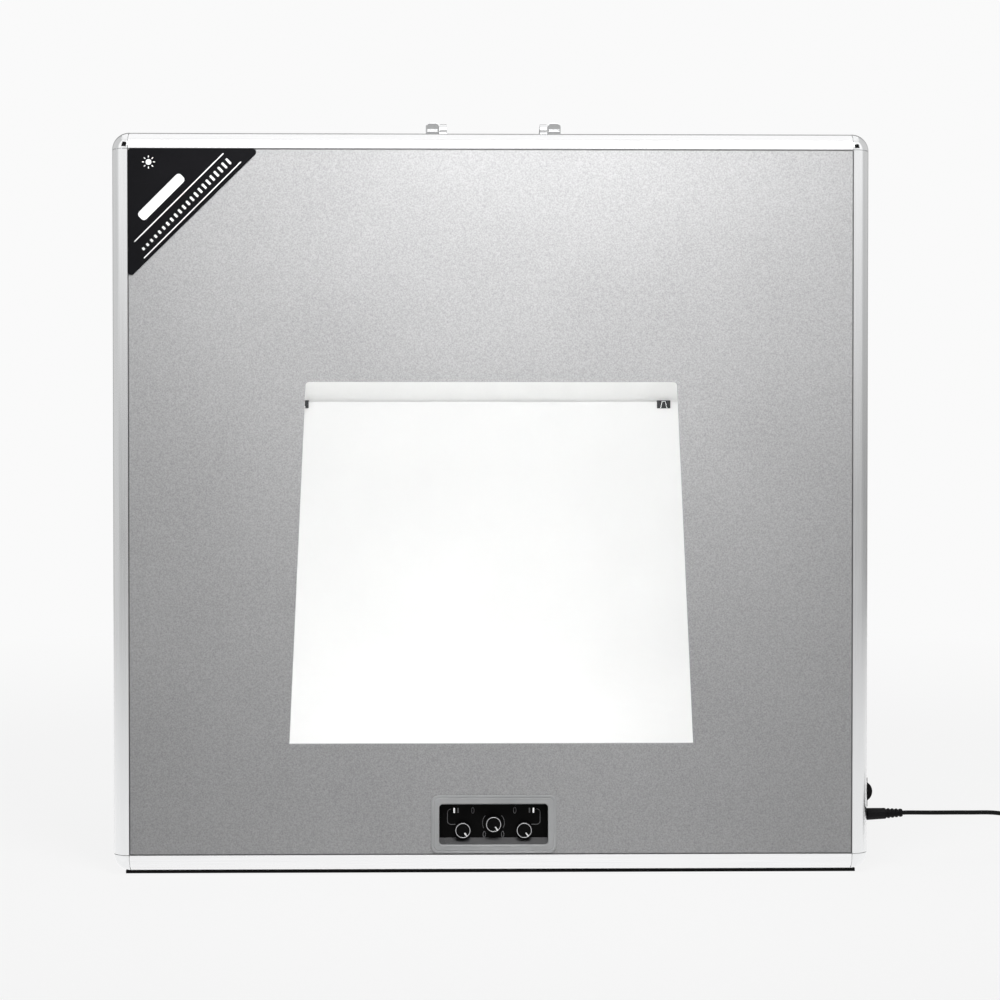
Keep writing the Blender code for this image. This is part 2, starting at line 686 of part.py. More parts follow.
def build_sheets():
    """The top sheet and the floor sheet, from rim to rim."""
    length = CASE_DEPTH - 2 * (SHELL_DEPTH + GAP)
    plane = placed((0, 0, 0), (1, 0, 0), (0, 0, 1))
    top, floor = sheet_outline(CASE_TOP - GAP, -1), sheet_outline(CASE_BOTTOM + GAP, 1)
    show_as_part(prism("top_sheet", [top], length, plane), WHITE_FABRIC)
    show_as_part(prism("floor_sheet", [floor], length, plane), WHITE_FABRIC)


def open_box(name, low, high, wall, material):
    """A cover with five walls, open towards the case's front."""
    low, high = Vector(low), Vector(high)
    cover = show_as_part(box(name, low, high), material)
    cut(cover, box(f"{name}_hollow", (low.x + wall, low.y - OVERRUN, low.z + wall),
                   (high.x - wall, high.y - wall, high.z - wall)))
    return cover


def build_light_module(place, low, high):
    """A light board on the panel's inner face, under its diffuser. Corners are (x, z)."""
    front = depth_y(PANEL_BACK + GAP)
    open_box(f"diffuser_{place}", (low[0], front, low[1]), (high[0], front + MODULE_DEPTH, high[1]),
             MODULE_WALL, OPAL_PLASTIC)
    margin = MODULE_WALL + MODULE_BOARD_MARGIN
    board = box(f"led_board_{place}", (low[0] + margin, front, low[1] + margin),
                (high[0] - margin, front + BOARD_THICKNESS, high[1] - margin))
    show_as_part(board, WHITE_BOARD)


def build_light_modules():
    """Modules left and right of the window and above it."""
    outer = HALF_WIDTH - LIP_REACH - MODULE_RAIL_MARGIN
    inner = WINDOW_BOTTOM_WIDTH / 2 + MODULE_MARGIN
    low, high = CASE_BOTTOM + WINDOW_BOTTOM, CASE_BOTTOM + WINDOW_TOP
    build_light_module("left", (-outer, low), (-inner, high))
    build_light_module("right", (inner, low), (outer, high))
    build_light_module("top", (-outer, high + MODULE_MARGIN),
                       (outer, CASE_TOP - LIP_REACH - MODULE_RAIL_MARGIN))


def knob_places():
    """Each dimmer's name and its place in the panel, as (x, z)."""
    side, middle = CASE_BOTTOM + KNOB_SIDE_HEIGHT, CASE_BOTTOM + KNOB_MIDDLE_HEIGHT
    return (("left", BEZEL_OFFSET - KNOB_SIDE_SPACING, side), ("top", BEZEL_OFFSET, middle),
            ("right", BEZEL_OFFSET + KNOB_SIDE_SPACING, side))


def build_knob(place, x, z):
    """A dimmer knob on its shaft, with a pointer groove in its face."""
    back = RECESS_DEPTH + TRAY_FRONT - 2 * GAP
    front = back - KNOB_LENGTH
    shaft_end = POT_FRONT + KNOB_SHAFT_REACH
    plane = placed((x, depth_y(back), z), (1, 0, 0), (0, 0, 1))
    profile = [(0, back - front), (KNOB_RADIUS - 2 * KNOB_TAPER, back - front),
               (KNOB_RADIUS - KNOB_TAPER, back - front - KNOB_TAPER), (KNOB_RADIUS, 0),
               (KNOB_SHAFT_RADIUS, 0), (KNOB_SHAFT_RADIUS, back - shaft_end), (0, back - shaft_end)]
    knob = show_as_part(smooth(turned(f"dimmer_knob_{place}", profile, plane, steps=20)), BLACK_PLASTIC)
    end = KNOB_RADIUS - 3 * KNOB_TAPER
    pointer = box(f"dimmer_knob_{place}_pointer",
                  (end - KNOB_POINTER_LENGTH, -KNOB_POINTER_WIDTH / 2, -KNOB_POINTER_DEPTH),
                  (end, KNOB_POINTER_WIDTH / 2, OVERRUN), (0, 0, 0))
    face = placed((x, depth_y(front), z), (1, 0, 0), (0, 0, 1))
    pointer.matrix_world = face @ Matrix.Rotation(KNOB_POINTER_ANGLE, 4, "Z")
    return cut(knob, pointer)


def build_controls(bottom_rail):
    """The bezel, the recessed tray, the dimmer board with its potentiometers, the knobs, the rear cover."""
    centre = (BEZEL_OFFSET, CONTROL_HEIGHT)
    bezel_back = PANEL_SETBACK - GAP
    bezel = prism("control_bezel",
                  [filleted(rectangle(centre, BEZEL_WIDTH, BEZEL_HEIGHT), BEZEL_CORNER_RADIUS),
                   filleted(rectangle(centre, RECESS_WIDTH, RECESS_HEIGHT), RECESS_CORNER_RADIUS)],
                  BEZEL_THICKNESS, face_plane(FRONT, bezel_back - BEZEL_THICKNESS / 2))
    show_as_part(bezel, GREY_PLASTIC)

    half_width, half_height = RECESS_WIDTH / 2 + TRAY_WALL, RECESS_HEIGHT / 2 + TRAY_WALL
    tray = box("control_tray",
               (centre[0] - half_width, depth_y(TRAY_FRONT), centre[1] - half_height),
               (centre[0] + half_width, depth_y(TRAY_BACK), centre[1] + half_height))
    show_as_part(tray, BLACK_PLASTIC)
    low, high = -RECESS_HEIGHT / 2, RECESS_HEIGHT / 2
    slope = RECESS_SLOPE / RECESS_DEPTH
    section = [(-OVERRUN, low - OVERRUN * slope), (RECESS_DEPTH, low + RECESS_SLOPE),
               (RECESS_DEPTH, high), (-OVERRUN, high)]
    cut(tray, prism("control_tray_recess", [section], RECESS_WIDTH,
                    side_plane(centre[0], depth_y(TRAY_FRONT), centre[1])))

    board_back = BOARD_FRONT + BOARD_THICKNESS
    board = box("dimmer_board",
                (centre[0] - RECESS_WIDTH / 2, depth_y(BOARD_FRONT), centre[1] + low),
                (centre[0] + RECESS_WIDTH / 2, depth_y(board_back), centre[1] + high))
    show_as_part(board, CIRCUIT_BOARD)
    for place, x, z in knob_places():
        hole = KNOB_SHAFT_RADIUS + BORE_CLEARANCE
        cut(tray, rod(f"control_tray_hole_{place}", (x, depth_y(RECESS_DEPTH), z),
                      (x, depth_y(TRAY_BACK + OVERRUN), z), hole))
        unite(board, rod(f"potentiometer_{place}", (x, depth_y(POT_FRONT), z),
                         (x, depth_y(BOARD_FRONT + BOARD_THICKNESS / 2), z), POT_RADIUS))
        cut(board, rod(f"potentiometer_bore_{place}", (x, depth_y(POT_FRONT - OVERRUN), z),
                       (x, depth_y(POT_FRONT + POT_BORE_DEPTH), z), hole))
        build_knob(place, x, z)

    cover_front, cover_low = depth_y(LIP_BACK + GAP), CASE_BOTTOM + COVER_LOW
    open_box("electronics_cover",
             (centre[0] - COVER_WIDTH / 2, cover_front, cover_low),
             (centre[0] + COVER_WIDTH / 2, cover_front + COVER_DEPTH, cover_low + COVER_HEIGHT),
             COVER_WALL, BLACK_PLASTIC)
    notch = half_width + GAP
    notch_low = centre[1] - half_height - GAP
    notch_high = CASE_BOTTOM + LIP_REACH + OVERRUN
    cut(bottom_rail, box("front_rail_bottom_notch",
                         (centre[0] - notch, depth_y(LIP_FRONT - OVERRUN), notch_low),
                         (centre[0] + notch, depth_y(LIP_BACK + OVERRUN), notch_high)))


def centred_box(name, x_range, half_depth, half_height):
    """A block around the power switch's middle, from one x to another."""
    return box(name, (min(x_range), FITTING_Y - half_depth, ROCKER_Z - half_height),
               (max(x_range), FITTING_Y + half_depth, ROCKER_Z + half_height))


def trunnion_rod(name, half_length, radius):
    """A bar along the rocker's axis."""
    return rod(name, (ROCKER_X, FITTING_Y - half_length, ROCKER_Z),
               (ROCKER_X, FITTING_Y + half_length, ROCKER_Z), radius, sides=12)


def build_power_switch(right_rail):
    """The switch housing through the right rail, and its rocker on two trunnions."""
    cavity_half, cavity_depth = ROCKER_RADIUS + SWITCH_CLEARANCE, ROCKER_THICKNESS / 2 + BORE_CLEARANCE
    body_half, body_depth = cavity_half + SWITCH_WALL, cavity_depth + SWITCH_WALL
    flange_low = HALF_WIDTH + GAP
    flange_high = flange_low + SWITCH_FLANGE_THICKNESS
    body_x = (HALF_WIDTH - SWITCH_LENGTH, flange_low + SWITCH_FLANGE_THICKNESS / 2)
    housing = show_as_part(centred_box("switch_housing", body_x, body_depth, body_half), BLACK_PLASTIC)
    unite(housing, centred_box("switch_flange", (flange_low, flange_high), body_depth + SWITCH_FLANGE,
                               body_half + SWITCH_FLANGE))
    cut(housing, centred_box("switch_cavity", (ROCKER_X - SWITCH_CAVITY_DEPTH, flange_high + OVERRUN),
                             cavity_depth, cavity_half))
    trunnion = ROCKER_THICKNESS / 2 + ROCKER_TRUNNION_LENGTH
    cut(housing, trunnion_rod("switch_trunnion_bore", trunnion + BORE_CLEARANCE,
                              ROCKER_TRUNNION_RADIUS + BORE_CLEARANCE))
    cut(right_rail, centred_box("front_rail_right_switch_hole",
                                (HALF_WIDTH - RAIL_WALL - OVERRUN, HALF_WIDTH + OVERRUN),
                                body_depth + GAP, body_half + GAP))

    angles = [math.pi * (i / ROCKER_STEPS - 1 / 2) for i in range(ROCKER_STEPS + 1)]
    outline = [(ROCKER_OUTREACH * math.cos(a), ROCKER_RADIUS * math.sin(a)) for a in angles]
    outline += [(-ROCKER_FOOT_REACH, ROCKER_FOOT_HALF), (-ROCKER_FOOT_REACH, -ROCKER_FOOT_HALF)]
    plane = placed((ROCKER_X, FITTING_Y, ROCKER_Z), (1, 0, 0), (0, 0, 1))
    tilted = plane @ Matrix.Rotation(-ROCKER_REST_TILT, 4, "Z")
    rocker = show_as_part(smooth(prism("power_rocker", [outline], ROCKER_THICKNESS, tilted)), BLACK_PLASTIC)
    unite(rocker, trunnion_rod("power_rocker_trunnions", trunnion, ROCKER_TRUNNION_RADIUS))


def build_supply_socket(right_rail):
    """The supply socket through the right rail, and the loom from it to the controls."""
    plane = placed((HALF_WIDTH, FITTING_Y, SOCKET_Z), (0, 1, 0), (0, 0, 1))
    top, seat = GAP + SOCKET_FLANGE_THICKNESS, GAP
    profile = [(0, top), (SOCKET_FLANGE_RADIUS, top), (SOCKET_FLANGE_RADIUS, seat),
               (SOCKET_RADIUS, seat), (SOCKET_RADIUS, -SOCKET_LENGTH), (0, -SOCKET_LENGTH)]
    socket = show_as_part(smooth(turned("supply_socket", profile, plane, steps=20)), BLACK_PLASTIC)
    outside, inside = HALF_WIDTH + top + OVERRUN, HALF_WIDTH + top - SOCKET_BORE_DEPTH
    cut(socket, rod("supply_socket_bore", (outside, FITTING_Y, SOCKET_Z), (inside, FITTING_Y, SOCKET_Z),
                    SOCKET_BORE_RADIUS, sides=20))
    inside = HALF_WIDTH - RAIL_WALL - OVERRUN
    cut(right_rail, rod("front_rail_right_socket_hole", (outside, FITTING_Y, SOCKET_Z),
                        (inside, FITTING_Y, SOCKET_Z), SOCKET_RADIUS + GAP, sides=20))
    cover_side = BEZEL_OFFSET + COVER_WIDTH / 2 + GAP
    start = Vector((cover_side, depth_y(LOOM_START_DEPTH), CASE_BOTTOM + LOOM_START_HEIGHT))
    end = Vector((HALF_WIDTH - SOCKET_LENGTH - GAP, FITTING_Y, SOCKET_Z))
    lead_in = Vector((4 * LOOM_RADIUS, 0, 0))
    route = smooth_route([start, start + lead_in, end - lead_in, end], 16 * LOOM_RADIUS)
    show_as_part(tube("wiring_loom", route, LOOM_RADIUS, 2), CABLE_SHEATH)


def smooth_route(points, spacing):
    """Even points on a smooth curve through a route's own points, straight in its first and last stretch."""
    points = [Vector(point) for point in points]
    fine = [points[0]]
    for i in range(1, len(points) - 2):
        before, here, after, beyond = points[i - 1:i + 3]
        reach = (after - here).length
        leave = (after - before).normalized() * reach
        arrive = (beyond - here).normalized() * reach
        for k in range(64):
            t = k / 64
            fine.append(here * (2 * t**3 - 3 * t**2 + 1) + leave * (t**3 - 2 * t**2 + t)
                        + after * (3 * t**2 - 2 * t**3) + arrive * (t**3 - t**2))
    fine += points[-2:]
    lengths = [0.0]
    for first, second in zip(fine, fine[1:]):
        lengths.append(lengths[-1] + (second - first).length)
    straight = (points[1] - points[0]).length, lengths[-1] - (points[-1] - points[-2]).length
    count = max(2, round((straight[1] - straight[0]) / spacing))
    wanted = [straight[0] + (straight[1] - straight[0]) * i / count for i in range(count + 1)]
    axes = [np.interp(wanted, lengths, [place[k] for place in fine]) for k in range(3)]
    return [points[0]] + [Vector(place) for place in zip(*axes)] + [points[-1]]


def build_handle():
    """The two handle brackets and the handle, lying back on the case."""
    axis = Vector((HANDLE_OFFSET, HANDLE_AXIS_Y, HANDLE_AXIS_Z))
    bottom, top = CASE_TOP + GAP, CASE_TOP + BRACKET_HEIGHT
    inner = HANDLE_SPACING / 2 - BRACKET_WIDTH / 2
    front = HANDLE_AXIS_Y - BRACKET_DEPTH / 2
    grip_low, grip_high = -HUB_RADIUS + GAP, -HUB_RADIUS + GAP + GRIP_THICKNESS
    grip_front, grip_back = HANDLE_REACH - GRIP_DEPTH / 2, HANDLE_REACH + GRIP_DEPTH / 2
    half = inner - GAP
    grip = box("carry_handle", axis + Vector((-half + HUB_WIDTH / 2, grip_front, grip_low)),
               axis + Vector((half - HUB_WIDTH / 2, grip_back, grip_high)), axis)
    show_as_part(smooth(grip), CHROME)
    rounding = grip.modifiers.new("rounding", "BEVEL")
    rounding.width = GRIP_ROUNDING
    rounding.segments = 2
    for side, place in ((LEFT, "left"), (RIGHT, "right")):
        centre = HANDLE_OFFSET + side * HANDLE_SPACING / 2
        outline = rectangle((0, (bottom + top) / 2), BRACKET_WIDTH, top - bottom)
        arch = filleted(outline, BRACKET_CORNER_RADIUS, sharp=(0, 1))
        bracket = prism(f"handle_bracket_{place}", [arch], BRACKET_DEPTH,
                        placed((centre, HANDLE_AXIS_Y, 0), (1, 0, 0), (0, 0, 1)))
        show_as_part(smooth(bracket), CHROME)
        slot_half = BRACKET_WIDTH / 2 - BRACKET_SLOT_MARGIN
        slot_top = top - BRACKET_SLOT_DROP
        cut(bracket, box(f"handle_bracket_{place}_slot",
                         (centre - slot_half, front - OVERRUN, slot_top - BRACKET_SLOT_HEIGHT),
                         (centre + slot_half, front + BRACKET_SLOT_DEPTH, slot_top)))
        face = axis.x + side * inner
        deep = face + side * (HANDLE_PIN_LENGTH + GAP)
        cut(bracket, rod(f"handle_bracket_{place}_bore", (face - side * OVERRUN, axis.y, axis.z),
                         (deep, axis.y, axis.z), HANDLE_PIN_RADIUS + BORE_CLEARANCE))
        outline = arc((0, 0), HUB_RADIUS, math.pi / 2, 3 * math.pi / 2, 12)
        outline += [(HANDLE_REACH, grip_low), (HANDLE_REACH, grip_high), (grip_front, grip_high)]
        arm_x = axis.x + side * (half - HUB_WIDTH / 2)
        arm_plane = side_plane(arm_x, axis.y, axis.z)
        unite(grip, prism(f"carry_handle_{place}_arm", [outline], HUB_WIDTH, arm_plane))
        unite(grip, rod(f"carry_handle_{place}_pin", (arm_x, axis.y, axis.z),
                        (face + side * (HANDLE_PIN_LENGTH - GAP), axis.y, axis.z), HANDLE_PIN_RADIUS))


def latch_rod(name, x, half_length, radius):
    """A bar along a latch's axis, with its origin there."""
    axis = Vector((x, LATCH_AXIS_Y, LATCH_AXIS_Z))
    reach = Vector((half_length, 0, 0))
    return rod(name, axis - reach, axis + reach, radius, sides=12, origin=axis)


def build_latches(front_top_rail):
    """Latch plates and levers on the rear shell, and the keepers formed on the front shell's top rail."""
    pin_half = LATCH_WIDTH / 2 + GAP + LATCH_EAR_WALL
    keeper_back = depth_y(SHELL_DEPTH - KEEPER_SETBACK)
    plate_front = LATCH_AXIS_Y + LATCH_BARREL_RADIUS + 2 * GAP
    back = LATCH_AXIS_Y + LATCH_LENGTH
    bottom = CASE_TOP + GAP
    ear_low, ear_high = LATCH_AXIS_Y - LATCH_BARREL_RADIUS, LATCH_AXIS_Y + LATCH_EAR_REACH
    for side, place in ((LEFT, "left"), (RIGHT, "right")):
        x = side * LATCH_SPACING / 2
        keeper_front = keeper_back - KEEPER_LENGTH
        keeper = box(f"latch_keeper_{place}",
                     (x - KEEPER_WIDTH / 2, keeper_front, CASE_TOP - RAIL_WALL / 2),
                     (x + KEEPER_WIDTH / 2, keeper_back, CASE_TOP + KEEPER_HEIGHT))
        unite(front_top_rail, keeper)
        name = f"latch_base_{place}"
        base = box(name, (x - pin_half, plate_front, bottom),
                   (x + pin_half, back, bottom + LATCH_PLATE_THICKNESS))
        show_as_part(base, CHROME)
        for ear_side, ear in ((LEFT, "near"), (RIGHT, "far")):
            ends = sorted((x + ear_side * (LATCH_WIDTH / 2 + GAP), x + ear_side * pin_half))
            unite(base, box(f"{name}_{ear}_ear", (ends[0], ear_low, bottom),
                            (ends[1], ear_high, LATCH_AXIS_Z + LATCH_BARREL_RADIUS)))
        cut(base, latch_rod(f"{name}_bore", x, pin_half + OVERRUN, PIN_RADIUS + BORE_CLEARANCE))

        name = f"latch_lever_{place}"
        lever = show_as_part(smooth(latch_rod(name, x, LATCH_WIDTH / 2, LATCH_BARREL_RADIUS)), CHROME)
        half = LATCH_WIDTH / 2 - OVERLAP
        plate = box(f"{name}_plate", (x - half, LATCH_AXIS_Y, LATCH_AXIS_Z - LATCH_THICKNESS / 2),
                    (x + half, back, LATCH_AXIS_Z + LATCH_THICKNESS / 2))
        unite(lever, plate, latch_rod(f"{name}_pin", x, pin_half, PIN_RADIUS))


def build_backdrop():
    """The clip rail on the rear panel, the backdrop that hangs from it, and its two clips."""
    seat = LIP_FRONT
    top = BACKDROP_TOP_Z
    low = top - HANG_BAR_HEIGHT
    bar_back = HANG_DEPTH - HANG_BAR_THICKNESS
    section = [(seat, low), (HANG_DEPTH, low), (HANG_DEPTH, top), (bar_back, top),
               (bar_back, low + HANG_BAR_THICKNESS), (seat, low + HANG_BAR_THICKNESS)]
    plane = placed((0, depth_y(0, REAR), 0), (0, REAR, 0), (0, 0, 1))
    show_as_part(prism("backdrop_rail", [section], BACKDROP_WIDTH, plane), WHITE_BOARD)

    back, front = HANG_DEPTH + GAP, HANG_DEPTH + GAP + BACKDROP_THICKNESS
    floor = CASE_BOTTOM + SHEET_THICKNESS + 2 * GAP
    centre = (back + BACKDROP_SWEEP_RADIUS, floor + BACKDROP_SWEEP_RADIUS)
    end = CASE_DEPTH - BACKDROP_FRONT_DEPTH
    outline = [(back, top)]
    outline += arc(centre, BACKDROP_SWEEP_RADIUS, math.pi, 3 * math.pi / 2, 12)
    outline += [(end, floor), (end, floor + BACKDROP_THICKNESS)]
    outline += arc(centre, BACKDROP_SWEEP_RADIUS - BACKDROP_THICKNESS, 3 * math.pi / 2, math.pi, 12)
    outline += [(front, top)]
    show_as_part(prism("backdrop", [outline], BACKDROP_WIDTH, plane), WHITE_FABRIC)

    over, under = top + GAP + CLIP_WALL, top + GAP + CLIP_WALL - CLIP_HEIGHT
    jaw_back, jaw_front = bar_back - GAP, front + GAP
    clip = [(jaw_back - CLIP_WALL, under), (jaw_back, under), (jaw_back, top + GAP), (jaw_front, top + GAP),
            (jaw_front, under), (jaw_front + CLIP_WALL, under), (jaw_front + CLIP_WALL, over),
            (jaw_back - CLIP_WALL, over)]
    for side, place in ((LEFT, "left"), (RIGHT, "right")):
        x = CLIP_OFFSET + side * CLIP_SPACING / 2
        clip_plane = Matrix.Translation((x, 0, 0)) @ plane
        show_as_part(prism(f"backdrop_clip_{place}", [clip], CLIP_WIDTH, clip_plane), BLACK_STEEL)


def coil_places():
    """Centre-line points of the lead's coil: it spirals in on the floor and out again on top of itself."""
    reach = COIL_LAYER_TURNS / COIL_LAYERS
    outer = COIL_TURN_RADIUS + COIL_PITCH * reach
    centre = Vector((COIL_X, FITTING_Y + outer, 0))
    low = LEAD_RADIUS + COIL_FLOOR_CLEARANCE
    turned_at = COIL_LAYER_TURNS + COIL_CLIMB_TURNS / 2
    total = COIL_LAYER_TURNS + COIL_CLIMB_TURNS + COIL_EXIT_TURNS
    places = []
    for i in range(round(total * COIL_LOOP_POINTS) + 1):
        turns = i / COIL_LOOP_POINTS
        radius = outer - COIL_PITCH * (turned_at - abs(turns - turned_at))
        share = min(max((turns - COIL_LAYER_TURNS) / COIL_CLIMB_TURNS, 0), 1)
        climb = share * share * (3 - 2 * share)
        angle = 2 * math.pi * turns - math.pi / 2
        places.append(centre + Vector((radius * math.cos(angle), radius * math.sin(angle),
                                       low + climb * COIL_LAYER_HEIGHT)))
    straight = 2 * LEAD_RADIUS
    entry, leave = Vector((1, 0, 0)), Vector((0, 1, 0))
    return [places[0] - entry * straight] + places + [places[-1] + leave * straight]


def least_gap(places, radius):
    """The least distance between stretches of a tube that aren't neighbours, from surface to surface."""
    points = np.array([tuple(place) for place in places])
    start, run = points[:-1], points[1:] - points[:-1]
    least = math.inf
    for i, point in enumerate(points):
        share = ((point - start) * run).sum(1) / (run * run).sum(1)
        nearest = start + run * np.clip(share, 0, 1)[:, None]
        away = np.linalg.norm(nearest - point, axis=1)
        apart = np.abs(np.arange(len(start)) - i) > COIL_LOOP_POINTS // 3
        if apart.any():
            least = min(least, float(away[apart].min()))
    return least - 2 * radius


def build_lead():
    """The plug in its socket, the lead down to the floor, its coil, its tail and the adapter."""
    tilt = Matrix.Rotation(-PLUG_TILT, 4, "Y")
    base = Matrix.Translation((PLUG_X, FITTING_Y, SOCKET_Z)) @ tilt
    plane = base @ placed((0, 0, 0), (0, 1, 0), (0, 0, 1))
    end = PLUG_LENGTH
    profile = [(0, end), (PLUG_END_RADIUS, end)]
    pitch = PLUG_RELIEF_LENGTH / (2 * PLUG_RIDGES)
    for i in range(1, 2 * PLUG_RIDGES):
        radius = PLUG_END_RADIUS + (PLUG_RELIEF_RADIUS - PLUG_END_RADIUS) * i / (2 * PLUG_RIDGES)
        profile.append((radius - PLUG_GROOVE * (i % 2), end - pitch * i))
    profile += [(PLUG_RELIEF_RADIUS, PLUG_BODY_LENGTH), (PLUG_RADIUS, PLUG_BODY_LENGTH - PLUG_SHOULDER),
                (PLUG_RADIUS, 0), (PLUG_BARREL_RADIUS, 0), (PLUG_BARREL_RADIUS, -PLUG_BARREL_LENGTH),
                (0, -PLUG_BARREL_LENGTH)]
    show_as_part(smooth(turned("supply_plug", profile, plane, steps=16)), BLACK_PLASTIC)

    coil = coil_places()
    straight = 2 * LEAD_RADIUS
    leaves = base @ Vector((end + GAP, 0, 0))
    along = tilt.to_3x3() @ Vector((1, 0, 0))
    meets = coil[0] - Vector((GAP, 0, 0))
    route = [leaves, leaves + along * straight]
    for run_share, height_share in LEAD_ROUTE_SHARES:
        route.append(Vector((leaves.x + run_share * (meets.x - leaves.x), FITTING_Y,
                             meets.z + height_share * (leaves.z - meets.z))))
    route += [meets - Vector((straight, 0, 0)), meets]
    show_as_part(tube("power_lead", smooth_route(route, 5 * LEAD_RADIUS), LEAD_RADIUS, 2), CABLE_SHEATH)
    show_as_part(tube("lead_coil", coil, LEAD_RADIUS, 1), CABLE_SHEATH)
    print("lead_coil least gap to itself: %.2f mm" % (1000 * least_gap(coil, LEAD_RADIUS)))

    start = coil[-1] + Vector((0, GAP, 0))
    adapter_front = start.y + ADAPTER_DISTANCE
    gland_height = ADAPTER_HEIGHT / 2
    stop = Vector((start.x, adapter_front - GLAND_LENGTH - GAP, gland_height))
    lead_in = Vector((0, straight, 0))
    middle = (start + stop) / 2
    route = [start, start + lead_in, middle, stop - lead_in, stop]
    show_as_part(tube("lead_tail", smooth_route(route, 5 * LEAD_RADIUS), LEAD_RADIUS, 2), CABLE_SHEATH)

    adapter = box("mains_adapter", (start.x - ADAPTER_WIDTH / 2, adapter_front, 0),
                  (start.x + ADAPTER_WIDTH / 2, adapter_front + ADAPTER_LENGTH, ADAPTER_HEIGHT))
    show_as_part(adapter, BLACK_PLASTIC)
    rounding = adapter.modifiers.new("rounding", "BEVEL")
    rounding.width = ADAPTER_ROUNDING
    rounding.segments = 2
    unite(adapter, rod("adapter_gland", (start.x, adapter_front - GLAND_LENGTH, gland_height),
                       (start.x, adapter_front + OVERRUN, gland_height), GLAND_RADIUS))
    back = adapter_front + ADAPTER_LENGTH
    for side, place in ((LEFT, "left"), (RIGHT, "right")):
        x = start.x + side * BLADE_SPACING / 2
        unite(adapter, box(f"adapter_blade_{place}",
                           (x - BLADE_THICKNESS / 2, back - OVERLAP, gland_height - BLADE_WIDTH / 2),
                           (x + BLADE_THICKNESS / 2, back + BLADE_LENGTH, gland_height + BLADE_WIDTH / 2)))


def main():
    front_rails = build_shell("front", FRONT)
    build_shell("rear", REAR)
    build_panels()
    for side, place in ((LEFT, "left"), (RIGHT, "right")):
        build_leaf(f"{place}_front_leaf", side, FRONT)
        build_leaf(f"{place}_rear_leaf", side, REAR)
    build_sheets()
    build_light_modules()
    build_controls(front_rails["bottom"])
    build_power_switch(front_rails["right"])
    build_supply_socket(front_rails["right"])
    build_handle()
    build_latches(front_rails["top"])
    build_backdrop()
    build_lead()


main()
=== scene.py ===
"""Looks of a folding light tent cube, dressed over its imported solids.

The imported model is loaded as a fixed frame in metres, with X to the right, Y to the rear and Z up. Each
sub-assembly below is a class that models its pieces with Blender's own operators, gives them their finish
and sets them riding on the body that carries them. The camera and the supply lead come first.
"""

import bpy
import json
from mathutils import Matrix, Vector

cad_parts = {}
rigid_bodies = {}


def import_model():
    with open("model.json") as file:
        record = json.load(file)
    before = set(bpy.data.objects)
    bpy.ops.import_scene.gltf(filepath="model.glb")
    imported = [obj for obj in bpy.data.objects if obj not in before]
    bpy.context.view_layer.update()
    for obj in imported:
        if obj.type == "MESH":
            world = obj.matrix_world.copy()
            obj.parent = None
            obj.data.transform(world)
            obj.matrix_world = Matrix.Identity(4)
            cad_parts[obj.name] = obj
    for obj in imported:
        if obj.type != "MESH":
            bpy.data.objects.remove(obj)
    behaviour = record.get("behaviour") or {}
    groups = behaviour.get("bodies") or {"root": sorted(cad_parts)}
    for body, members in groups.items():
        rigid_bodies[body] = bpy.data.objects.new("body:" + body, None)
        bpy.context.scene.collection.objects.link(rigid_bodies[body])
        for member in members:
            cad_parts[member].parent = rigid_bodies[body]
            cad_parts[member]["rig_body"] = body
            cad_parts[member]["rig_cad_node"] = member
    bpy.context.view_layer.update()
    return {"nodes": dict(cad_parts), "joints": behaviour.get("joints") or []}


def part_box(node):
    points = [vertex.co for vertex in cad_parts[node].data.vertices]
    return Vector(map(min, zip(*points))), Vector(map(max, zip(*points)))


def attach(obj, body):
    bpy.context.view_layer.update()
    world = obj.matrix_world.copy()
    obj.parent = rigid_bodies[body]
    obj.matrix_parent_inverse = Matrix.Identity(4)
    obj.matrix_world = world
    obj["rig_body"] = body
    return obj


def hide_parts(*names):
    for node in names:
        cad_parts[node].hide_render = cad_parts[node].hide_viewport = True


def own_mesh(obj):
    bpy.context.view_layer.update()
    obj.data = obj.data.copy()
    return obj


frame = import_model()

import json
import logging
import math
from contextlib import contextmanager
from dataclasses import dataclass, field
from enum import Enum
from typing import Iterator, Sequence, Union

import bpy
from mathutils import Vector

LOG = logging.getLogger("light_tent_cube")
MM = 0.001
EASED_OVER = 50.0
SMOOTH_UNDER = 38.0
WELD = 0.002 * MM

Colour = tuple[float, float, float]
Point = tuple[float, float]
Step = tuple[float, float, float]
Piece = bpy.types.Object


class Body(str, Enum):
    """The rigid bodies that pieces ride on."""

    FRONT = "front_shell"
    REAR = "rear_shell"
    HANDLE = "carry_handle"
    ROCKER = "power_rocker"


class Side(Enum):
    """Left or right of the case, seen from the front."""

    LEFT = -1
    RIGHT = 1

    @property
    def word(self) -> str:
        """The side's name, as the solids use it."""
        return self.name.lower()


class Grain(Enum):
    """The direction in which a metal is brushed, as the pattern's scale along X, Y and Z."""

    ALONG_X = (12.0, 1400.0, 1400.0)
    ALONG_Z = (1400.0, 1400.0, 12.0)


# Materials ----------------------------------------------------------------------------------------------


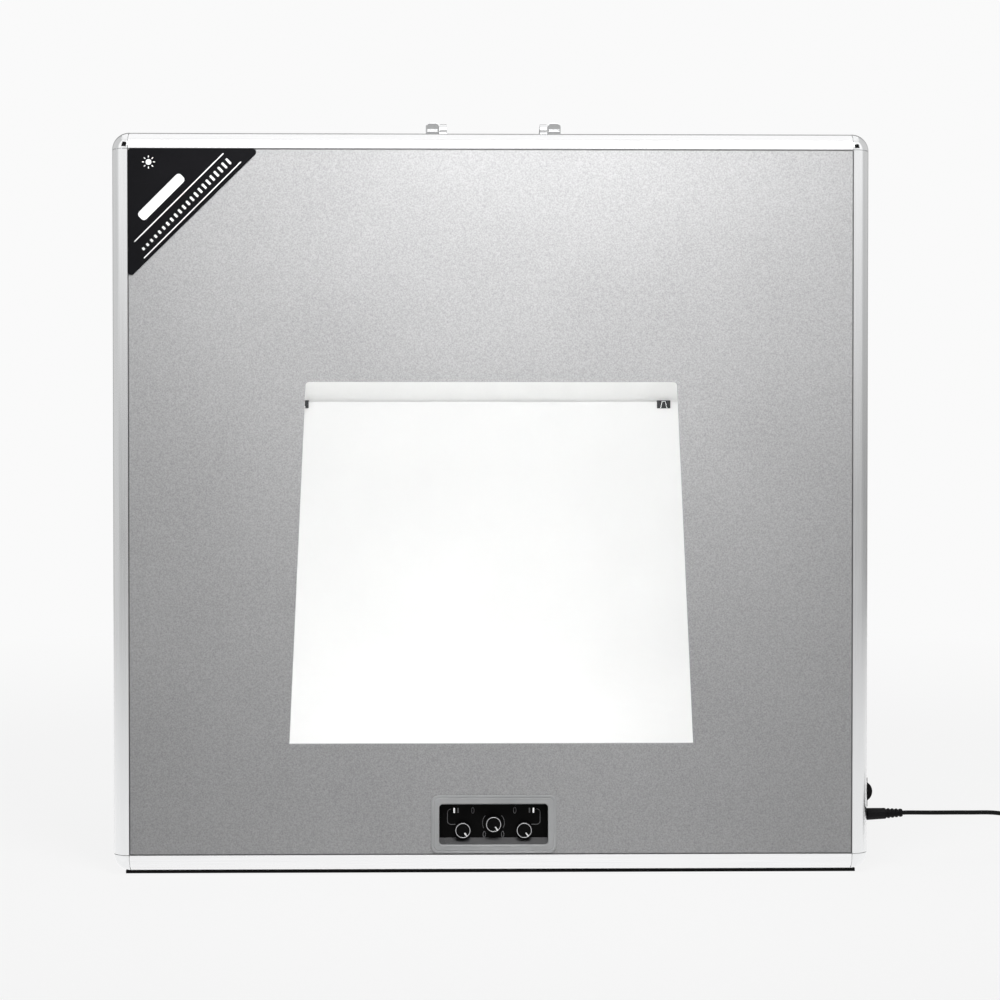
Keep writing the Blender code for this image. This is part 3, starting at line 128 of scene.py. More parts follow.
class Value:
    """A number that changes over a surface. Arithmetic on it adds the Math nodes that work it out."""

    def __init__(self, graph: "Graph", socket: bpy.types.NodeSocket) -> None:
        """Wrap one output socket.

        Args:
            graph: The material's nodes.
            socket: The output that carries the number.
        """
        self.graph = graph
        self.socket = socket

    def __add__(self, other: "Number") -> "Value":
        """Add."""
        return self.graph.maths("ADD", self, other)

    def __radd__(self, other: "Number") -> "Value":
        """Add, with the plain number first."""
        return self.graph.maths("ADD", other, self)

    def __sub__(self, other: "Number") -> "Value":
        """Subtract."""
        return self.graph.maths("SUBTRACT", self, other)

    def __rsub__(self, other: "Number") -> "Value":
        """Subtract from a plain number."""
        return self.graph.maths("SUBTRACT", other, self)

    def __mul__(self, other: "Number") -> "Value":
        """Multiply."""
        return self.graph.maths("MULTIPLY", self, other)

    def __rmul__(self, other: "Number") -> "Value":
        """Multiply, with the plain number first."""
        return self.graph.maths("MULTIPLY", other, self)

    def __truediv__(self, other: "Number") -> "Value":
        """Divide."""
        return self.graph.maths("DIVIDE", self, other)

    def __lt__(self, other: "Number") -> "Value":
        """One where this is the smaller, and zero elsewhere."""
        return self.graph.maths("LESS_THAN", self, other)

    def __abs__(self) -> "Value":
        """The size without the sign."""
        return self.graph.maths("ABSOLUTE", self)

    def sine(self) -> "Value":
        """The sine of an angle in radians."""
        return self.graph.maths("SINE", self)

    def fraction(self) -> "Value":
        """What is left past the last whole number."""
        return self.graph.maths("FRACT", self)

    def kept(self) -> "Value":
        """The value held between zero and one."""
        return self.graph.maths("MINIMUM", self.graph.maths("MAXIMUM", self, 0.0), 1.0)


Number = Union[Value, float]
Input = Union[Value, bpy.types.NodeSocket, float, tuple]


class Graph:
    """The nodes of one material or world, built up by expressions."""

    def __init__(self, tree: bpy.types.NodeTree) -> None:
        """Start on a node tree that already has its output.

        Args:
            tree: The node tree to add to.
        """
        self.tree = tree

    def node(self, kind: str, settings: dict | None = None, inputs: dict | None = None) -> bpy.types.Node:
        """Add a node.

        Args:
            kind: The node's type.
            settings: Its own settings, set first. "stops" are a ramp's (place, grey) pairs.
            inputs: Values or links of its sockets, by name or number.

        Returns:
            The new node.
        """
        made = self.tree.nodes.new(kind)
        for name, value in (settings or {}).items():
            if name != "stops":
                setattr(made, name, value)
                continue
            ramp = made.color_ramp.elements
            for place, grey in value[2:]:
                ramp.new(place)
            for element, (place, grey) in zip(ramp, sorted(value)):
                element.position = place
                element.color = (grey, grey, grey, 1.0)
        for name, value in (inputs or {}).items():
            self.plug(value, made.inputs[name])
        return made

    def plug(self, value: Input, socket: bpy.types.NodeSocket) -> None:
        """Give a socket its value or its link.

        Args:
            value: A value, an output socket or a constant.
            socket: The input to fill.
        """
        if isinstance(value, Value):
            value = value.socket
        if isinstance(value, bpy.types.NodeSocket):
            self.tree.links.new(value, socket)
        else:
            socket.default_value = value

    def maths(self, operation: str, *values: Number) -> Value:
        """Work out one step of arithmetic.

        Args:
            operation: The Math node's operation.
            values: Its operands.

        Returns:
            The result.
        """
        made = self.node("ShaderNodeMath", {"operation": operation}, dict(enumerate(values)))
        return Value(self, made.outputs[0])

    def place(self, scale: Sequence[float] = (1.0, 1.0, 1.0),
              source: str = "Object") -> bpy.types.NodeSocket:
        """The place on the piece, in metres of the object or of its own flat cut.

        Args:
            scale: How much the pattern is scaled along each axis.
            source: "Object" or "UV".

        Returns:
            The scaled coordinates.
        """
        where = self.node("ShaderNodeTexCoord").outputs[source]
        if tuple(scale) == (1.0, 1.0, 1.0):
            return where
        return self.node("ShaderNodeMapping", {}, {"Vector": where, "Scale": tuple(scale)}).outputs[0]

    def axes(self, where: bpy.types.NodeSocket) -> tuple[Value, Value, Value]:
        """Split coordinates.

        Args:
            where: The coordinates.

        Returns:
            X, Y and Z.
        """
        split = self.node("ShaderNodeSeparateXYZ", {}, {0: where})
        return tuple(Value(self, output) for output in split.outputs)

    def noise(self, where: bpy.types.NodeSocket, scale: float, detail: float = 2.0,
              roughness: float = 0.5) -> Value:
        """Soft random variation about a half.

        Args:
            where: The coordinates.
            scale: Lumps per unit.
            detail: How many finer layers it has.
            roughness: How strong the finer layers are.

        Returns:
            The variation, mostly between 0.3 and 0.7.
        """
        inputs = {"Vector": where, "Scale": scale, "Detail": detail, "Roughness": roughness}
        return Value(self, self.node("ShaderNodeTexNoise", {}, inputs).outputs[0])

    def between(self, share: Number, first: Input, second: Input) -> bpy.types.NodeSocket:
        """Mix two colours.

        Args:
            share: How much of the second there is.
            first: A colour.
            second: Another.

        Returns:
            The mixed colour.
        """
        inputs = {0: share, 6: self.full(first), 7: self.full(second)}
        return self.node("ShaderNodeMix", {"data_type": "RGBA"}, inputs).outputs[2]

    @staticmethod
    def full(colour: Input) -> Input:
        """A colour with its alpha, or the link as it is."""
        return (*colour, 1.0) if isinstance(colour, tuple) and len(colour) == 3 else colour

    def bump(self, height: Number, distance: float, strength: float = 1.0) -> bpy.types.NodeSocket:
        """Small relief.

        Args:
            height: The relief, mostly from zero to one.
            distance: How high one unit of it is, in metres.
            strength: How much of it shows.

        Returns:
            The shaded direction.
        """
        inputs = {"Strength": strength, "Distance": distance, "Height": height}
        return self.node("ShaderNodeBump", {}, inputs).outputs[0]


def shade(colour: Colour, share: float) -> Colour:
    """A colour made darker or lighter by a share of itself."""
    return tuple(min(part * share, 1.0) for part in colour)


@dataclass(frozen=True)
class Finish:
    """A surface finish: its own name, the record's slot, and what its shader starts from."""

    name: str
    slot: str
    colour: Colour
    roughness: float
    metallic: float = 0.0

    def material(self) -> bpy.types.Material:
        """The finish's material, made the first time that it is asked for.

        Returns:
            The material.
        """
        made = bpy.data.materials.get(self.name)
        if made is None:
            made = bpy.data.materials.new(self.name)
            made.use_nodes = True
            made.diffuse_color = (*self.colour, 1.0)
            shader = made.node_tree.nodes["Principled BSDF"]
            shader.inputs["Base Color"].default_value = (*self.colour, 1.0)
            shader.inputs["Roughness"].default_value = self.roughness
            shader.inputs["Metallic"].default_value = self.metallic
            self.dress(Graph(made.node_tree), shader.inputs)
        return made

    def dress(self, graph: Graph, sockets: bpy.types.NodeInputs) -> None:
        """Add the finish's own detail.

        Args:
            graph: The material's nodes.
            sockets: The shader's inputs.
        """
        raise NotImplementedError


@dataclass(frozen=True)
class SpeckledLaminate(Finish):
    """Silver-grey laminate, with a fine metallic speckle in a slightly uneven skin."""

    flake: float = 1.2 * MM
    contrast: float = 0.34
    crispness: float = 1.6
    cloud_scale: float = 7.0
    cloud_share: float = 0.25
    relief: float = 0.10 * MM
    mirror: float = 0.20

    def dress(self, graph: Graph, sockets: bpy.types.NodeInputs) -> None:
        """Add speckle, faint clouding and orange peel.

        Args:
            graph: The material's nodes.
            sockets: The shader's inputs.
        """
        where = graph.place()
        fleck = graph.noise(where, 1 / self.flake, 3.0, 0.65)
        cloud = graph.noise(where, self.cloud_scale)
        share = ((fleck - 0.5) * self.crispness + (cloud - 0.5) * self.cloud_share + 0.5).kept()
        dark, light = shade(self.colour, 1 - self.contrast), shade(self.colour, 1 + self.contrast)
        graph.plug(graph.between(share, dark, light), sockets["Base Color"])
        graph.plug(self.roughness + (fleck - 0.5) * 0.2, sockets["Roughness"])
        graph.plug(graph.bump(fleck, self.relief, 0.2), sockets["Normal"])
        sockets["Specular IOR Level"].default_value = self.mirror


@dataclass(frozen=True)
class BrushedMetal(Finish):
    """Satin-anodised metal, drawn or brushed along one direction."""

    grain: Grain = Grain.ALONG_X

    def dress(self, graph: Graph, sockets: bpy.types.NodeInputs) -> None:
        """Add draw lines and handling marks.

        Args:
            graph: The material's nodes.
            sockets: The shader's inputs.
        """
        lines = graph.noise(graph.place(self.grain.value), 1.0, 3.0, 0.6)
        marks = graph.noise(graph.place(), 26.0, 3.0)
        share = ((lines - 0.5) * 1.4 + 0.5).kept()
        graph.plug(graph.between(share, shade(self.colour, 0.93), shade(self.colour, 1.05)),
                   sockets["Base Color"])
        graph.plug(self.roughness + (lines - 0.5) * 0.12 + (marks - 0.5) * 0.10, sockets["Roughness"])
        graph.plug(graph.bump(lines, 0.03 * MM, 0.4), sockets["Normal"])


@dataclass(frozen=True)
class PlatedMetal(Finish):
    """Bright plating, with faint smears where hands touch it."""

    def dress(self, graph: Graph, sockets: bpy.types.NodeInputs) -> None:
        """Add smears and a slight unevenness.

        Args:
            graph: The material's nodes.
            sockets: The shader's inputs.
        """
        where = graph.place()
        smear = graph.noise(where, 120.0, 4.0, 0.6)
        graph.plug(graph.between((smear - 0.3).kept(), self.colour, shade(self.colour, 0.88)),
                   sockets["Base Color"])
        graph.plug(self.roughness + (smear - 0.5) * 0.10, sockets["Roughness"])
        graph.plug(graph.bump(graph.noise(where, 300.0), 0.02 * MM, 0.3), sockets["Normal"])


@dataclass(frozen=True)
class MouldedPlastic(Finish):
    """Injection-moulded plastic with a fine spark-eroded grain."""

    grain: float = 0.5 * MM
    relief: float = 0.04 * MM
    mirror: float = 0.5
    uneven: float = 0.15
    glow: float = 0.0

    def dress(self, graph: Graph, sockets: bpy.types.NodeInputs) -> None:
        """Add the mould's grain, flow clouding and a little rubbed shine.

        Args:
            graph: The material's nodes.
            sockets: The shader's inputs.
        """
        where = graph.place()
        grain = graph.noise(where, 1 / self.grain, 2.0, 0.7)
        cloud = graph.noise(where, 35.0, 2.0)
        share = (0.5 + (cloud - 0.5) * 1.2 + (grain - 0.5) * 0.6).kept()
        dark, light = shade(self.colour, 1 - self.uneven), shade(self.colour, 1 + self.uneven)
        graph.plug(graph.between(share, dark, light), sockets["Base Color"])
        graph.plug(self.roughness + (cloud - 0.5) * 0.16 + (grain - 0.5) * 0.1, sockets["Roughness"])
        graph.plug(graph.bump(grain, self.relief, 0.5), sockets["Normal"])
        sockets["Specular IOR Level"].default_value = self.mirror
        # A glow makes the plastic shine of itself: painted light, not a lamp.
        if self.glow:
            sockets["Emission Color"].default_value = (1.0, 1.0, 1.0, 1.0)
            sockets["Emission Strength"].default_value = self.glow


@dataclass(frozen=True)
class Cloth(Finish):
    """Coated white cloth with a plain weave that follows its own flat cut."""

    thread: float = 1.1 * MM

    def dress(self, graph: Graph, sockets: bpy.types.NodeInputs) -> None:
        """Add the weave and soft creases, with the colour a little darker where their relief lies low:
        painted shade in the creases.

        Args:
            graph: The material's nodes.
            sockets: The shader's inputs.
        """
        where = graph.place(source="UV")
        across, along, _ = graph.axes(where)
        turn = math.tau / self.thread
        weave = (across * turn).sine() * (along * turn).sine() * 0.5 + 0.5
        crease = graph.noise(where, 9.0, 3.0, 0.55)
        # Painted shade: the colour follows the relief's noise and is darker in the low parts of the creases
        # and weave.
        share = (weave * 0.45 + (crease - 0.5) + 0.3).kept()
        graph.plug(graph.between(share, shade(self.colour, 0.96), shade(self.colour, 1.02)),
                   sockets["Base Color"])
        graph.plug(self.roughness - weave * 0.06, sockets["Roughness"])
        relief = weave * 0.10 + crease * 6.0
        graph.plug(graph.bump(relief, 0.5 * MM, 0.5), sockets["Normal"])


@dataclass(frozen=True)
class OpalSheet(Finish):
    """Opal plastic over rows of small lamps, lit from behind."""

    glow: float = 2.72
    lamp_pitch: float = 0.024

    def dress(self, graph: Graph, sockets: bpy.types.NodeInputs) -> None:
        """Add the soft spots of the lamps behind the sheet and a frosted skin.

        Args:
            graph: The material's nodes.
            sockets: The shader's inputs.
        """
        where = graph.place()
        across, _, up = graph.axes(where)
        turn = math.tau / self.lamp_pitch
        spot = ((across * turn).sine() * (up * turn).sine() * 0.5 + 0.5).kept()
        frost = graph.noise(where, 900.0, 2.0)
        graph.plug(graph.between(spot, (0.93, 0.94, 0.96), (1.0, 1.0, 1.0)), sockets["Emission Color"])
        graph.plug(graph.between(frost, shade(self.colour, 0.97), self.colour), sockets["Base Color"])
        graph.plug(self.roughness + (frost - 0.5) * 0.1, sockets["Roughness"])
        sockets["Emission Strength"].default_value = self.glow


@dataclass(frozen=True)
class LampBoard(Finish):
    """White-coated aluminium board with rows of surface-mounted lamps."""

    pitch: float = 0.012
    chip: float = 0.0028

    def dress(self, graph: Graph, sockets: bpy.types.NodeInputs) -> None:
        """Add the lamps' yellow faces in their rows, and the coating's grain.

        Args:
            graph: The material's nodes.
            sockets: The shader's inputs.
        """
        where = graph.place()
        across, _, up = graph.axes(where)
        reach = self.chip / self.pitch / 2
        inside_across = abs((across / self.pitch).fraction() - 0.5) < reach
        inside_up = abs((up / self.pitch).fraction() - 0.5) < reach
        chip = inside_across * inside_up
        graph.plug(graph.between(chip, self.colour, (0.90, 0.72, 0.18)), sockets["Base Color"])
        graph.plug(self.roughness + chip * 0.2, sockets["Roughness"])
        graph.plug(graph.bump(chip + graph.noise(where, 1500.0) * 0.1, 0.3 * MM), sockets["Normal"])


@dataclass(frozen=True)
class CircuitBoard(Finish):
    """Green solder mask over copper tracks."""

    pitch: float = 0.0045

    def dress(self, graph: Graph, sockets: bpy.types.NodeInputs) -> None:
        """Add tracks, which show lighter through the mask.

        Args:
            graph: The material's nodes.
            sockets: The shader's inputs.
        """
        where = graph.place()
        across, _, up = graph.axes(where)
        wander = graph.noise(where, 60.0, 0.0) * 2.0
        track = abs(((across + up * 0.5) / self.pitch + wander).fraction() - 0.5) < 0.16
        graph.plug(graph.between(track, self.colour, shade(self.colour, 2.2)), sockets["Base Color"])
        graph.plug(self.roughness - track * 0.12, sockets["Roughness"])
        graph.plug(graph.bump(track, 0.05 * MM), sockets["Normal"])


LAMINATE = SpeckledLaminate("silver_laminate_skin", "silver_laminate", (0.385, 0.385, 0.389), 0.46, 0.03)
RAIL_ACROSS = BrushedMetal("satin_rail_across", "aluminium", (0.90, 0.90, 0.905), 0.21, 1.0, Grain.ALONG_X)
RAIL_UPRIGHT = BrushedMetal("satin_rail_upright", "aluminium", (0.86, 0.865, 0.87), 0.21, 1.0, Grain.ALONG_Z)
CHROME = PlatedMetal("bright_plate", "chrome", (0.87, 0.875, 0.88), 0.10, 1.0)
RUBBER = MouldedPlastic("foot_rubber", "black_rubber", (0.007, 0.007, 0.007), 0.75, grain=0.9 * MM,
                        mirror=0.1)
VINYL = MouldedPlastic("black_vinyl_skin", "black_vinyl", (0.006, 0.006, 0.007), 0.42, grain=1.2 * MM,
                       relief=0.02 * MM, mirror=0.06)
GREY = MouldedPlastic("grey_moulding", "grey_plastic", (0.42, 0.425, 0.43), 0.40, mirror=0.35)
BLACK = MouldedPlastic("black_moulding", "black_plastic", (0.004, 0.004, 0.0045), 0.42, mirror=0.12)
TRAY_BLACK = MouldedPlastic("tray_black", "black_plastic", (0.003, 0.003, 0.003), 0.50, mirror=0.05)
SHEATH = MouldedPlastic("cable_skin", "cable_sheath", (0.004, 0.004, 0.004), 0.45, grain=0.8 * MM,
                        mirror=0.12)
# Painted light: a lighter grey copy of the tray's black plastic, for its upward-facing slope as if lit from
# above.
SLOPE_PAINTED_LIGHT = MouldedPlastic("tray_lip_black", "black_plastic", (0.13, 0.13, 0.133), 0.30, mirror=0.6)
# Painted shadow: a dark grey strip round the panel's edge that stands for the shade in the gap between the
# panel and the rails.
GAP_SHADE_PAINT = MouldedPlastic("edge_seal", "black_rubber", (0.15, 0.15, 0.152), 0.7, grain=0.9 * MM, mirror=0.2)
KNOB_RING = PlatedMetal("knob_ring", "chrome", (0.66, 0.66, 0.67), 0.20, 1.0)
BOARD = CircuitBoard("green_mask", "circuit_board", (0.03, 0.16, 0.07), 0.40)
LAMPS = LampBoard("lamp_rows", "white_board", (0.86, 0.87, 0.87), 0.35, 0.2)
OPAL = OpalSheet("opal_cover", "opal_plastic", (0.92, 0.92, 0.91), 0.35)
BOARDING = MouldedPlastic("white_leaf_board", "white_boarding", (0.84, 0.84, 0.83), 0.50, grain=2.0 * MM,
                          relief=0.05 * MM, uneven=0.03)
WHITE_COAT = MouldedPlastic("white_coated_bar", "white_board", (0.86, 0.86, 0.855), 0.45, grain=0.6 * MM,
                            uneven=0.04)
CLOTH = Cloth("white_coated_cloth", "white_fabric", (0.90, 0.90, 0.895), 0.85)
SPRING_STEEL = MouldedPlastic("black_spring_steel", "black_steel", (0.012, 0.012, 0.013), 0.30, 0.5)
WHITE_PRINT = MouldedPlastic("white_print", "opal_plastic", (0.88, 0.88, 0.88), 0.45, grain=0.3 * MM)
# Painted light: white print given its own glow, standing for light on the ticks in the shaded tray.
TICK_PAINTED_GLOW = MouldedPlastic("lit_tick", "opal_plastic", (0.88, 0.88, 0.88), 0.45, grain=0.3 * MM, glow=0.7)
DIM_PRINT = MouldedPlastic("dim_print", "black_plastic", (0.16, 0.16, 0.165), 0.50, grain=0.3 * MM)
BLADE_METAL = BrushedMetal("blade_metal", "chrome", (0.78, 0.74, 0.62), 0.25, 1.0, Grain.ALONG_X)


# Modelling ----------------------------------------------------------------------------------------------


class Bench:
    """Blender's own modelling operators, used on one piece at a time as by hand."""

    @staticmethod
    def clear() -> None:
        """Leave edit mode and deselect everything."""
        if bpy.context.object is not None and bpy.context.object.mode != "OBJECT":
            bpy.ops.object.mode_set(mode="OBJECT")
        bpy.ops.object.select_all(action="DESELECT")

    @staticmethod
    def hold(piece: Piece) -> None:
        """Make a piece the only selected and the active one.

        Args:
            piece: The piece.
        """
        Bench.clear()
        piece.select_set(True)
        bpy.context.view_layer.objects.active = piece

    @staticmethod
    @contextmanager
    def editing(piece: Piece, chosen: str = "SELECT", kind: str = "FACE") -> Iterator[None]:
        """Edit a piece's mesh.

        Args:
            piece: The piece.
            chosen: "SELECT" for all of it, or "DESELECT" for none.
            kind: "VERT", "EDGE" or "FACE".

        Yields:
            Nothing, with the piece in edit mode.
        """
        Bench.hold(piece)
        bpy.ops.object.mode_set(mode="EDIT")
        bpy.ops.mesh.select_mode(type=kind)
        bpy.ops.mesh.select_all(action=chosen)
        yield
        bpy.ops.object.mode_set(mode="OBJECT")

    @staticmethod
    def named(piece: Piece, name: str) -> Piece:
        """Give a piece and its mesh their name.

        Args:
            piece: The piece.
            name: Its name.

        Returns:
            The piece.
        """
        piece.name = name
        piece.data.name = name
        return piece

    @staticmethod
    def settle(piece: Piece, weld: float = WELD) -> Piece:
        """Close a mesh's seams and poles and turn its faces outwards.

        Args:
            piece: The piece.
            weld: How near two points are that become one.

        Returns:
            The piece.
        """
        with Bench.editing(piece):
            bpy.ops.mesh.remove_doubles(threshold=weld)
            bpy.ops.mesh.delete_loose(use_faces=False)
            bpy.ops.mesh.select_all(action="SELECT")
            bpy.ops.mesh.normals_make_consistent(inside=False)
        return piece

    @staticmethod
    def block(name: str, low: Sequence[float], high: Sequence[float], round_by: float = 0.0,
              steps: int = 3) -> Piece:
        """A block between two corners with rounded edges.

        Args:
            name: The piece's name.
            low: Its lowest corner.
            high: Its highest corner.
            round_by: How far its edges are rounded.
            steps: The faces across each rounded edge.

        Returns:
            The block.
        """
        low, high = Vector(low), Vector(high)
        Bench.clear()
        bpy.ops.mesh.primitive_cube_add(size=1, location=(low + high) / 2)
        piece = bpy.context.object
        piece.scale = high - low
        bpy.ops.object.transform_apply(location=True, rotation=True, scale=True)
        if round_by:
            with Bench.editing(piece):
                bpy.ops.mesh.bevel(offset=round_by, segments=steps, affect="EDGES")
        return Bench.named(piece, name)

    @staticmethod
    def ring(points: Sequence[Vector], filled: bool = False) -> Piece:
        """A loop of edges or a flat face through a row of points.

        Args:
            points: The corners, in order.
            filled: Whether it is a face.

        Returns:
            The loop or face.
        """
        Bench.clear()
        fill = "NGON" if filled else "NOTHING"
        bpy.ops.mesh.primitive_circle_add(vertices=len(points), radius=1, fill_type=fill)
        piece = bpy.context.object
        for vertex, place in zip(piece.data.vertices, points):
            vertex.co = place
        return piece

    @staticmethod
    def drawn(name: str, points: Sequence[Vector], travel: Sequence[float]) -> Piece:
        """A flat outline drawn out along a straight line.

        Args:
            name: The piece's name.
            points: The outline's corners, in order.
            travel: How far it is drawn, and in which direction.

        Returns:
            The closed solid.
        """
        piece = Bench.ring(points, filled=True)
        with Bench.editing(piece):
            bpy.ops.mesh.extrude_region_move(TRANSFORM_OT_translate={"value": tuple(travel)})
        return Bench.named(Bench.settle(piece), name)

    @staticmethod
    def turned(name: str, profile: Sequence[Point], start: Sequence[float], axis: Sequence[float],
               steps: int = 48) -> Piece:
        """A solid turned about an axis.

        Args:
            name: The piece's name.
            profile: Its (radius, height) points, both ends on the axis.
            start: Where height is zero on the axis.
            axis: The axis's direction.
            steps: The faces round it.

        Returns:
            The closed solid.
        """
        start, axis = Vector(start), Vector(axis).normalized()
        across = axis.orthogonal().normalized()
        piece = Bench.ring([start + across * radius + axis * height for radius, height in profile])
        with Bench.editing(piece, kind="VERT"):
            bpy.ops.mesh.spin(steps=steps, dupli=False, angle=math.tau, center=start, axis=axis)
        return Bench.named(Bench.settle(piece), name)

    @staticmethod
    def skin(name: str, rows: Sequence[Sequence[Vector]], flat: tuple[float, float] | None = None) -> Piece:
        """A sheet through rows of points, from a grid whose points are moved into place.

        Args:
            name: The piece's name.
            rows: The rows, each with the same number of points.
            flat: The size of the flat cut, which the sheet's own map then gives in metres.

        Returns:
            The open sheet.
        """
        Bench.clear()
        bpy.ops.mesh.primitive_grid_add(x_subdivisions=len(rows[0]) - 1, y_subdivisions=len(rows) - 1,
                                        size=1, calc_uvs=True)
        piece = bpy.context.object
        for vertex, place in zip(piece.data.vertices, (place for row in rows for place in row)):
            vertex.co = place
        if flat:
            for corner in piece.data.uv_layers[0].data:
                corner.uv = (corner.uv[0] * flat[0], corner.uv[1] * flat[1])
        return Bench.named(piece, name)

    @staticmethod
    def modify(piece: Piece, kind: str, **settings: object) -> Piece:
        """Add one modifier, set it and apply it.

        Args:
            piece: The piece.
            kind: The modifier's type.
            settings: Its settings.

        Returns:
            The piece.
        """
        Bench.hold(piece)
        step = piece.modifiers.new(kind.lower(), kind)
        for name, value in settings.items():
            setattr(step, name, value)
        bpy.ops.object.modifier_apply(modifier=step.name)
        return piece

    @staticmethod
    def soften(piece: Piece, width: float, steps: int = 2, over: float = 40.0) -> Piece:
        """Break the edges that are sharper than an angle in degrees."""
        return Bench.modify(piece, "BEVEL", width=width, segments=steps, limit_method="ANGLE",
                            angle_limit=math.radians(over), use_clamp_overlap=True)

    @staticmethod
    def smooth(piece: Piece, under: float = 40.0, weigh: bool = True) -> Piece:
        """Shade a piece smooth, except across edges that are sharper than an angle in degrees.

        Args:
            piece: The piece.
            under: The angle.
            weigh: Whether large faces keep their own shading up to their rounded edges.

        Returns:
            The piece.
        """
        Bench.hold(piece)
        bpy.ops.object.shade_smooth_by_angle(angle=math.radians(under))
        return Bench.modify(piece, "WEIGHTED_NORMAL", keep_sharp=True) if weigh else piece

    @staticmethod
    def eased(piece: Piece, width: float, steps: int = 2, over: float = EASED_OVER) -> Piece:
        """Break a piece's sharp edges and shade it smooth up to the ones that stay sharp."""
        return Bench.smooth(Bench.soften(piece, width, steps, over), SMOOTH_UNDER)

    @staticmethod
    def carve(piece: Piece, tool: Piece, how: str = "DIFFERENCE") -> Piece:
        """Cut a piece with another, or join them into one skin, and clear the other away.

        Args:
            piece: The piece.
            tool: The other piece.
            how: The Boolean's operation.

        Returns:
            The piece.
        """
        Bench.modify(piece, "BOOLEAN", operation=how, solver="EXACT", object=tool)
        bpy.data.objects.remove(tool)
        return piece

    @staticmethod
    def joined(name: str, parts: Sequence[Piece]) -> Piece:
        """Several meshes as one piece.

        Args:
            name: The new piece's name.
            parts: The meshes, of which the first stays.

        Returns:
            The piece.
        """
        Bench.clear()
        for part in parts:
            part.select_set(True)
        bpy.context.view_layer.objects.active = parts[0]
        if len(parts) > 1:
            bpy.ops.object.join()
        return Bench.named(parts[0], name)

    @staticmethod
    def traced(name: str, points: Sequence[Vector], radius: float, closed: bool = False,
               sides: int = 2) -> Piece:
        """A round line along a row of points, as a mesh.

        Args:
            name: The piece's name.
            points: The points of its centre line.
            radius: Its radius.
            closed: Whether it runs back to its start.
            sides: The fineness of its roundness.

        Returns:
            The line.
        """
        piece = cord_curve(name, points, radius, sides, closed)
        Bench.hold(piece)
        bpy.ops.object.convert(target="MESH")
        return Bench.named(bpy.context.object, name)

    @staticmethod
    def solid_copy(node: str, name: str) -> Piece:
        """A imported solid's shape as a new piece, with its loose triangles merged.

        Args:
            node: The solid's node.
            name: The new piece's name.

        Returns:
            The piece.
        """
        source = frame["nodes"][node]
        Bench.hold(source)
        bpy.ops.object.duplicate()
        piece = bpy.context.object
        bpy.ops.object.parent_clear(type="CLEAR_KEEP_TRANSFORM")
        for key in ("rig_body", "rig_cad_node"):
            del piece[key]
        with Bench.editing(piece):
            bpy.ops.mesh.remove_doubles(threshold=0.005 * MM)
            bpy.ops.mesh.dissolve_limited(angle_limit=math.radians(0.5))
        piece.data.materials.clear()
        return Bench.named(piece, name)


def cord_curve(name: str, points: Sequence[Vector], radius: float, sides: int = 4,
               closed: bool = False) -> Piece:
    """A round cord along a row of points, as a curve of one spline.

    Args:
        name: The cord's name.
        points: The points of its centre line.
        radius: Its radius.
        sides: The fineness of its roundness.
        closed: Whether it runs back to its start.

    Returns:
        The cord.
    """
    curve = bpy.data.curves.new(name, "CURVE")
    curve.dimensions = "3D"
    curve.bevel_depth = radius
    curve.bevel_resolution = sides
    curve.use_fill_caps = not closed
    spline = curve.splines.new("POLY")
    spline.points.add(len(points) - 1)
    for point, place in zip(spline.points, points):
        point.co = (*place, 1.0)
    spline.use_cyclic_u = closed
    piece = bpy.data.objects.new(name, curve)
    bpy.context.scene.collection.objects.link(piece)
    return piece


def arc(centre: Point, radius: float, start: float, end: float, steps: int) -> list[Point]:
    """Points along an arc, both ends included, with angles in degrees."""
    turns = [math.radians(start + (end - start) * i / steps) for i in range(steps + 1)]
    return [(centre[0] + radius * math.cos(a), centre[1] + radius * math.sin(a)) for a in turns]


def rounded(centre: Point, width: float, height: float, radius: float, steps: int = 8) -> list[Point]:
    """A rectangle with round corners, anticlockwise from the right of its lower side.

    Args:
        centre: The rectangle's middle.
        width: Its width.
        height: Its height.
        radius: The radius of its corners.
        steps: The lines round each corner.

    Returns:
        The points of its outline.
    """
    points: list[Point] = []
    for side, up, start in ((1, -1, -90), (1, 1, 0), (-1, 1, 90), (-1, -1, 180)):
        middle = (centre[0] + side * (width / 2 - radius), centre[1] + up * (height / 2 - radius))
        points += arc(middle, radius, start, start + 90, steps)
    return points


def facing(points: Sequence[Point], y: float) -> list[Vector]:
    """Points drawn as (x, z), placed in a plane parallel to the case's face."""
    return [Vector((x, y, z)) for x, z in points]


def sideways(points: Sequence[Point], x: float) -> list[Vector]:
    """Points drawn as (y, z), placed in a plane parallel to the case's side."""
    return [Vector((x, y, z)) for y, z in points]


class SubAssembly:
    """Pieces that belong together, each dressed and set riding as it is finished."""

    def put(self, piece: Piece, finish: Finish | Sequence[Finish], body: str,
            stands_for: Sequence[str] = ()) -> Piece:
        """Dress a piece and set it on its body.

        Args:
            piece: The finished piece, in place.
            finish: Its finish, or several for a piece whose faces choose among them.
            body: The body that carries it.
            stands_for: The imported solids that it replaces.

        Returns:
            The piece.
        """
        finishes = [finish] if isinstance(finish, Finish) else list(finish)
        if not piece.data.materials:
            for one in finishes:
                piece.data.materials.append(one.material())
        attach(piece, body.value if isinstance(body, Body) else body)
        if stands_for:
            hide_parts(*stands_for)
        return piece

    @staticmethod
    def dress_solid(node: str, finish: Finish) -> None:
        """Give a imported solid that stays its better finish.

        Args:
            node: The solid's node.
            finish: Its finish.
        """
        solid = frame["nodes"][node]
        solid.data.materials.clear()
        solid.data.materials.append(finish.material())
        LOG.info("%s keeps its solid", node)


# The camera and the studio ------------------------------------------------------------------------------


